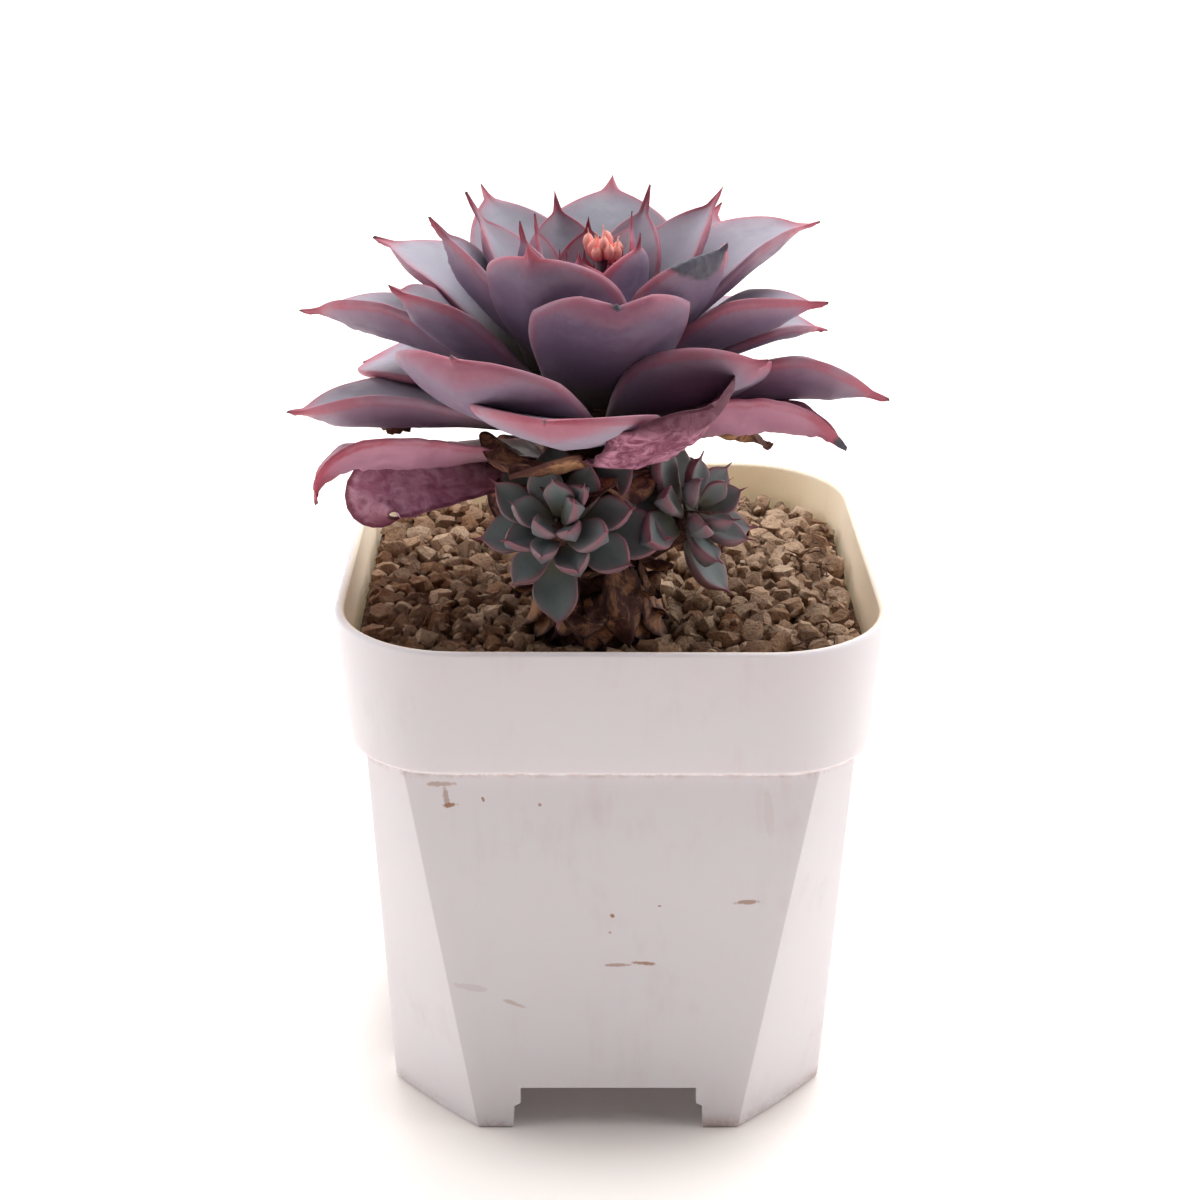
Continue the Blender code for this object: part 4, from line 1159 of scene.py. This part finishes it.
def build_rosette(rosette):
    fresh = leaf_finish("rosette_leaf_skin", rosette.upper, rosette.under, rosette.margin)
    pink, rose = rgb(190, 140, 160), rgb(166, 112, 138)
    faded = leaf_finish("fading_leaf_skin", pink, rose, rosette.margin, 0.8)
    for i, (node, row) in enumerate(LEAVES.items()):
        row[5].setdefault("ruffle", rosette.ruffle / MM)
        look = faded if node in ("leaf_left_curled", "leaf_right_dying") else fresh
        finish_piece(measured_leaf(node, row, i + 1), look, "rosette_leaf", node)
    young = []
    for i in range(YOUNG_LEAVES):
        world = standing(CROWN[0] + 0.8, CROWN[1], i * GOLDEN_TURN)
        start = np.array((1.6 + 0.18 * i, 125.5))
        end = np.array((2.8 + 0.28 * i, 139.5 - 0.3 * (i % 4)))
        young.append(grown_leaf(
            "young", world, start, end, 4.2 + 0.2 * i, 1.4, 6, 4, 0.3, 1.8, 200 + i,
            sides=16, rings=19, ruffle=0.1, bend=0.1, blush=2.0, tone=0.3,
        ))
    finish_piece(joined("young_leaves", young), fresh, "rosette_leaf")


def build_withered():
    skin = papery_finish("withered_skin", rgb(184, 128, 152), rgb(130, 70, 96), rgb(74, 32, 46))
    faded = papery_finish("faded_skin", rgb(212, 168, 188), rgb(182, 126, 152), rgb(104, 42, 62))
    golden = papery_finish("golden_husk", rgb(188, 142, 104), rgb(140, 92, 78), rgb(74, 42, 38))
    for i, (node, row) in enumerate(WITHERED.items()):
        look = {"withered_front": skin, "withered_left": faded}.get(node, golden)
        finish_piece(measured_leaf(node, row, i + 61), look, "withered_leaf", node)


# ---- offsets ---------------------------------------------------------------------------------
# Each offset: its heart's node, the direction it faces, radius, share of the leaves, and seed.
OFFSETS = (
    ("pup_front_heart", (-102, 30), 14.5, 1.0, 5),
    ("pup_right_heart", (-36, 24), 13.5, 0.8, 6),
)


def offset_frame(heart, facing):
    azimuth, rise = (math.radians(angle) for angle in facing)
    flat = math.cos(rise)
    axis = Vector((math.cos(azimuth) * flat, math.sin(azimuth) * flat, math.sin(rise)))
    points = node_points(heart)
    level = points @ np.array(axis)
    return Vector(points[level < level.min() + 0.1].mean(axis=0)), axis


def build_offsets(offset):
    look = leaf_finish("offset_leaf_skin", offset.upper, offset.under, offset.margin, 0.35, 1.7)
    for heart, facing, radius, share, seed in OFFSETS:
        draw = random.Random(seed)
        foot, axis = offset_frame(heart, facing)
        axis = (axis + Vector((0, 0, 0.24))).normalized()
        foot += Vector((0, 0, 1.2))
        stand = Matrix.Translation(foot) @ axis.to_track_quat("Z", "Y").to_matrix().to_4x4()
        leaves = []
        count = int(offset.leaves * share)
        for i in range(count):
            inward = i / (count - 1)
            turn = i * GOLDEN_TURN + draw.uniform(-0.12, 0.12)
            rise = math.radians(-4 + 72 * inward**1.1 + draw.uniform(-6, 6))
            long = radius * (0.98 - 0.42 * inward) * draw.uniform(0.9, 1.06)
            wide = long * draw.uniform(0.46, 0.55)
            base = np.array((2.3 * (1 - inward) + 0.3, 1.0 + 4.6 * inward))
            tip = base + long * heading(rise)
            world = stand @ Matrix.Rotation(turn, 4, "Z")
            bend, tone = draw.uniform(-0.8, 0.8), draw.uniform(0.0, 0.5)
            thick = 3.1 - 1.1 * inward
            leaves.append(grown_leaf(
                "pup", world, base, tip, wide, thick, -12, 16, 0.26, 1.6, seed * 50 + i,
                sides=18, rings=21, ruffle=0.15, bend=bend, blush=0.8, tone=tone, keel=0.45,
            ))
        name = heart.replace("_heart", "")
        nodes = [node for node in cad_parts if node.startswith(name)]
        finish_piece(joined(f"{name}_rosette", leaves), look, "offset_leaf", *nodes)


# ---- buds and roots --------------------------------------------------------------------------
BUDS = 11
# A fibre turns back at the collar's corner: the corner's centre from the middle, and its reach.
FIBRE_CORNER, FIBRE_REACH = 26.7, 11.0
FIBRE_STEP = 0.95


def build_buds():
    draw = random.Random(14)
    low, high = (Vector(corner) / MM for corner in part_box("flower_buds"))
    centre = (low + high) / 2 + Vector((1.0, 0, 0))
    foot = Vector((centre.x, centre.y, low.z))
    path = [foot - Vector((0, 0, 2)), foot, foot + Vector((0, 0, 11))]
    stalk = tube("stalk", path, (1.2, 1.1, 1.0), 12, 0.1, 2)
    count = len(stalk.data.vertices)
    store(stalk, "blade", np.tile((0.1, 1.0, 0.5, 0.5), (count, 1)))
    store(stalk, "tint", np.zeros((count, 4)))
    buds = [stalk]
    for i in range(BUDS):
        # One in the middle, four round it and the rest outside them.
        out = 0.0 if i == 0 else (0.8 if i < 5 else 1.7)
        start = np.array((out * 0.4, high.z - 4.4 + draw.uniform(-0.5, 0.5)))
        end = np.array((out * 1.5, high.z + 1.2 - out * 0.7 + draw.uniform(-0.9, 0.9)))
        world = standing(centre.x, centre.y, i * GOLDEN_TURN)
        buds.append(grown_leaf(
            "bud", world, start, end, 1.7, 1.6, 4, 8, 0.0, 0.8, 80 + i,
            sides=12, rings=13, ruffle=0.05, bend=0.0, tone=draw.random(), blunt=0.3,
        ))
    made = joined("coral_buds", buds)
    smooth(made)
    finish_piece(made, bud_finish(), "flower_bud", "flower_buds")


def build_roots():
    """Fine dry root fibres lying on the grit at the front right and along the right wall."""
    draw = random.Random(8)
    fibres = []
    for i in range(16):
        along_wall = i % 3 == 0
        x = POT_MIDDLE.x + (36.0 if along_wall else draw.uniform(24, 34))
        y = POT_MIDDLE.y + (draw.uniform(-20, 12) if along_wall else draw.uniform(-34, -26))
        bearing = draw.uniform(1.2, 1.9) if along_wall else draw.uniform(-0.5, 0.5)
        deselect()
        bpy.ops.curve.primitive_bezier_curve_add()
        line = bpy.context.object
        line.data.splines.clear()
        spline = line.data.splines.new("POLY")
        spline.points.add(13)
        z = SOIL_LEVEL + draw.uniform(1.6, 3.0)
        for k, point in enumerate(spline.points):
            point.co = (x * MM, y * MM, (z + 0.5 * math.sin(k * 0.9 + i)) * MM, 1)
            bearing += draw.uniform(-0.45, 0.45)
            x, y = x + FIBRE_STEP * math.cos(bearing), y + FIBRE_STEP * math.sin(bearing)
            past_x = max(x - POT_MIDDLE.x - FIBRE_CORNER, 0)
            past_y = max(POT_MIDDLE.y - FIBRE_CORNER - y, 0)
            back = max(1 - FIBRE_REACH / max(math.hypot(past_x, past_y), 1e-6), 0)
            x, y = x - past_x * back, y + past_y * back
        line.data.dimensions = "3D"
        line.data.bevel_depth = draw.uniform(0.09, 0.16) * MM
        line.data.bevel_resolution = 1
        line.data.use_fill_caps = True
        bpy.ops.object.convert(target="MESH")
        fibres.append(bpy.context.object)
    made = joined("root_fibres", fibres)
    smooth(made)
    finish_piece(made, bark_finish("dry_root", rgb(120, 88, 66), rgb(58, 40, 32)), "stem_bark")


# ---- stage -----------------------------------------------------------------------------------
def build_floor():
    deselect()
    bpy.ops.mesh.primitive_plane_add(size=12.0, location=(0, 3.0, 0))
    floor = bpy.context.object
    floor.name = "floor"
    made = Finish("floor_paint_and_glow", Specular_IOR_Level=0.2, Emission_Strength=0.22)
    fine = made.clouds(400.0, 2.0)
    x, y, _ = made.split(made.place())
    far = ((x - POT_MIDDLE.x * MM) ** 2.0 + (y + 3.0 - POT_MIDDLE.y * MM) ** 2.0) ** 0.5
    paint = made.mix(fine, rgb(250, 243, 238), rgb(252, 246, 242))
    # Painted light: the floor glows faintly to lift the shadows round the pot, but not under the
    # pot, where the shade is kept dark.
    glow = made.mix(far.rise(0.036, 0.055), (0.0, 0.0, 0.0), (1.0, 0.95, 0.92))
    made.feed(Base_Color=paint, Roughness=0.75 + fine * 0.1, Emission_Color=glow)
    floor.data.materials.append(made.material)


def build_light(stage):
    world = bpy.data.worlds.new("studio")
    bpy.context.scene.world = world
    world.use_nodes = True
    tree = world.node_tree
    background = tree.nodes["Background"]
    background.inputs["Color"].default_value = (1.0, 0.99, 0.985, 1.0)
    heading = tree.nodes.new("ShaderNodeTexCoord")
    parts = tree.nodes.new("ShaderNodeSeparateXYZ")
    fade = tree.nodes.new("ShaderNodeMapRange")
    fade.interpolation_type = "SMOOTHSTEP"
    for index, value in enumerate((-0.55, -0.08, stage.frontlight, stage.backlight)):
        fade.inputs[index + 1].default_value = value
    tree.links.new(heading.outputs["Generated"], parts.inputs[0])
    tree.links.new(parts.outputs["Y"], fade.inputs[0])
    # Seen straight on, the studio's wall is white all round.
    seen = tree.nodes.new("ShaderNodeLightPath")
    strength = tree.nodes.new("ShaderNodeMath")
    strength.operation = "MAXIMUM"
    tree.links.new(fade.outputs[0], strength.inputs[0])
    tree.links.new(seen.outputs["Is Camera Ray"], strength.inputs[1])
    tree.links.new(strength.outputs[0], background.inputs["Strength"])
    lights = (
        ("overhead", (0.1, 0.35, 0.9), 0.7, 7.0),
        ("left_fill", (-0.85, 0.05, 0.35), 0.5, 1.3),
        ("right_fill", (0.85, 0.05, 0.35), 0.5, 1.5),
    )
    for name, place, size, power in lights:
        deselect()
        bpy.ops.object.light_add(type="AREA", location=place)
        lamp = bpy.context.object
        lamp.name = name
        lamp.data.size = size
        lamp.data.energy = power
        aim = Vector((0, 0, 0.1)) - Vector(place)
        lamp.rotation_euler = aim.to_track_quat("-Z", "Y").to_euler()


# How the camera looks down and turns aside, and how it leans, in degrees.
CAMERA_TURNS = (23.10, 0.646, 0.402)
# How far to the left of the pot's middle it stands.
CAMERA_ASIDE = 5.19


def build_camera(stage):
    pitch, yaw, lean = (math.radians(angle) for angle in CAMERA_TURNS)
    flat = math.cos(pitch)
    ahead = Vector((math.sin(yaw) * flat, math.cos(yaw) * flat, -math.sin(pitch)))
    right = Vector((math.cos(yaw), -math.sin(yaw), 0))
    up = right.cross(ahead)
    side = right * math.cos(lean) + up * math.sin(lean)
    top = up * math.cos(lean) - right * math.sin(lean)
    place = Vector((POT_MIDDLE.x - CAMERA_ASIDE, POT_MIDDLE.y, 0)) * MM
    place += Vector((0, -stage.distance, stage.height))
    camera = bpy.data.objects.new("camera", bpy.data.cameras.new("camera"))
    bpy.context.scene.collection.objects.link(camera)
    camera.data.sensor_width = 36.0
    camera.data.lens = stage.focal_length
    camera.data.clip_start = 0.01
    axes = Matrix((side, top, -ahead)).transposed()
    camera.matrix_world = Matrix.Translation(place) @ axes.to_4x4()
    bpy.context.scene.camera = camera
    bpy.context.scene.view_settings.view_transform = "Standard"


# ---- add-on ----------------------------------------------------------------------------------
class SUCCULENT_OT_pot(bpy.types.Operator):
    """Makes the stained plastic pot"""

    bl_idname = "succulent.pot"
    bl_label = "Pot"

    def execute(self, context):
        build_pot(context.scene.succulent_pot)
        return {"FINISHED"}


class SUCCULENT_OT_grit(bpy.types.Operator):
    """Fills the pot with grains of grit"""

    bl_idname = "succulent.grit"
    bl_label = "Grit"

    def execute(self, context):
        build_grit(context.scene.succulent_grit)
        return {"FINISHED"}


class SUCCULENT_OT_stem(bpy.types.Operator):
    """Makes the woody stem, the offsets' stalks and the dry husks round them"""

    bl_idname = "succulent.stem"
    bl_label = "Stem and husks"

    def execute(self, context):
        build_stem()
        return {"FINISHED"}


class SUCCULENT_OT_rosette(bpy.types.Operator):
    """Grows the rosette's living leaves"""

    bl_idname = "succulent.rosette"
    bl_label = "Rosette"

    def execute(self, context):
        build_rosette(context.scene.succulent_rosette)
        return {"FINISHED"}


class SUCCULENT_OT_withered(bpy.types.Operator):
    """Makes the withered leaves"""

    bl_idname = "succulent.withered"
    bl_label = "Withered leaves"

    def execute(self, context):
        build_withered()
        return {"FINISHED"}


class SUCCULENT_OT_offsets(bpy.types.Operator):
    """Grows the two offsets"""

    bl_idname = "succulent.offsets"
    bl_label = "Offsets"

    def execute(self, context):
        build_offsets(context.scene.succulent_offset)
        return {"FINISHED"}


class SUCCULENT_OT_buds(bpy.types.Operator):
    """Makes the coral flower buds"""

    bl_idname = "succulent.buds"
    bl_label = "Flower buds"

    def execute(self, context):
        build_buds()
        return {"FINISHED"}


class SUCCULENT_OT_roots(bpy.types.Operator):
    """Lays fine root fibres on the grit"""

    bl_idname = "succulent.roots"
    bl_label = "Root fibres"

    def execute(self, context):
        build_roots()
        return {"FINISHED"}


class SUCCULENT_OT_stage(bpy.types.Operator):
    """Sets up the floor, the light and the camera"""

    bl_idname = "succulent.stage"
    bl_label = "Stage"

    def execute(self, context):
        build_floor()
        build_light(context.scene.succulent_stage)
        build_camera(context.scene.succulent_stage)
        return {"FINISHED"}


SETTINGS = {
    "succulent_pot": PotSettings,
    "succulent_grit": GritSettings,
    "succulent_rosette": RosetteSettings,
    "succulent_offset": OffsetSettings,
    "succulent_stage": StageSettings,
}
OPERATORS = (
    SUCCULENT_OT_pot,
    SUCCULENT_OT_grit,
    SUCCULENT_OT_stem,
    SUCCULENT_OT_rosette,
    SUCCULENT_OT_withered,
    SUCCULENT_OT_offsets,
    SUCCULENT_OT_buds,
    SUCCULENT_OT_roots,
    SUCCULENT_OT_stage,
)


class SUCCULENT_PT_panel(bpy.types.Panel):
    """Lists the succulent's pieces and their settings"""

    bl_label = "Potted Succulent"
    bl_idname = "SUCCULENT_PT_panel"
    bl_space_type = "VIEW_3D"
    bl_region_type = "UI"
    bl_category = "Succulent"

    def draw(self, context):
        for operator in OPERATORS:
            self.layout.operator(operator.bl_idname)
        for name, group in SETTINGS.items():
            box = self.layout.box()
            for setting in group.__annotations__:
                box.prop(getattr(context.scene, name), setting)


def register():
    for group in SETTINGS.values():
        bpy.utils.register_class(group)
    for operator in (*OPERATORS, SUCCULENT_PT_panel):
        bpy.utils.register_class(operator)
    for name, group in SETTINGS.items():
        setattr(bpy.types.Scene, name, PointerProperty(type=group))


def unregister():
    for name in SETTINGS:
        delattr(bpy.types.Scene, name)
    for made in (SUCCULENT_PT_panel, *OPERATORS, *SETTINGS.values()):
        bpy.utils.unregister_class(made)


def main():
    register()
    for operator in OPERATORS:
        group, name = operator.bl_idname.split(".")
        getattr(getattr(bpy.ops, group), name)()


if __name__ == "__main__":
    main()
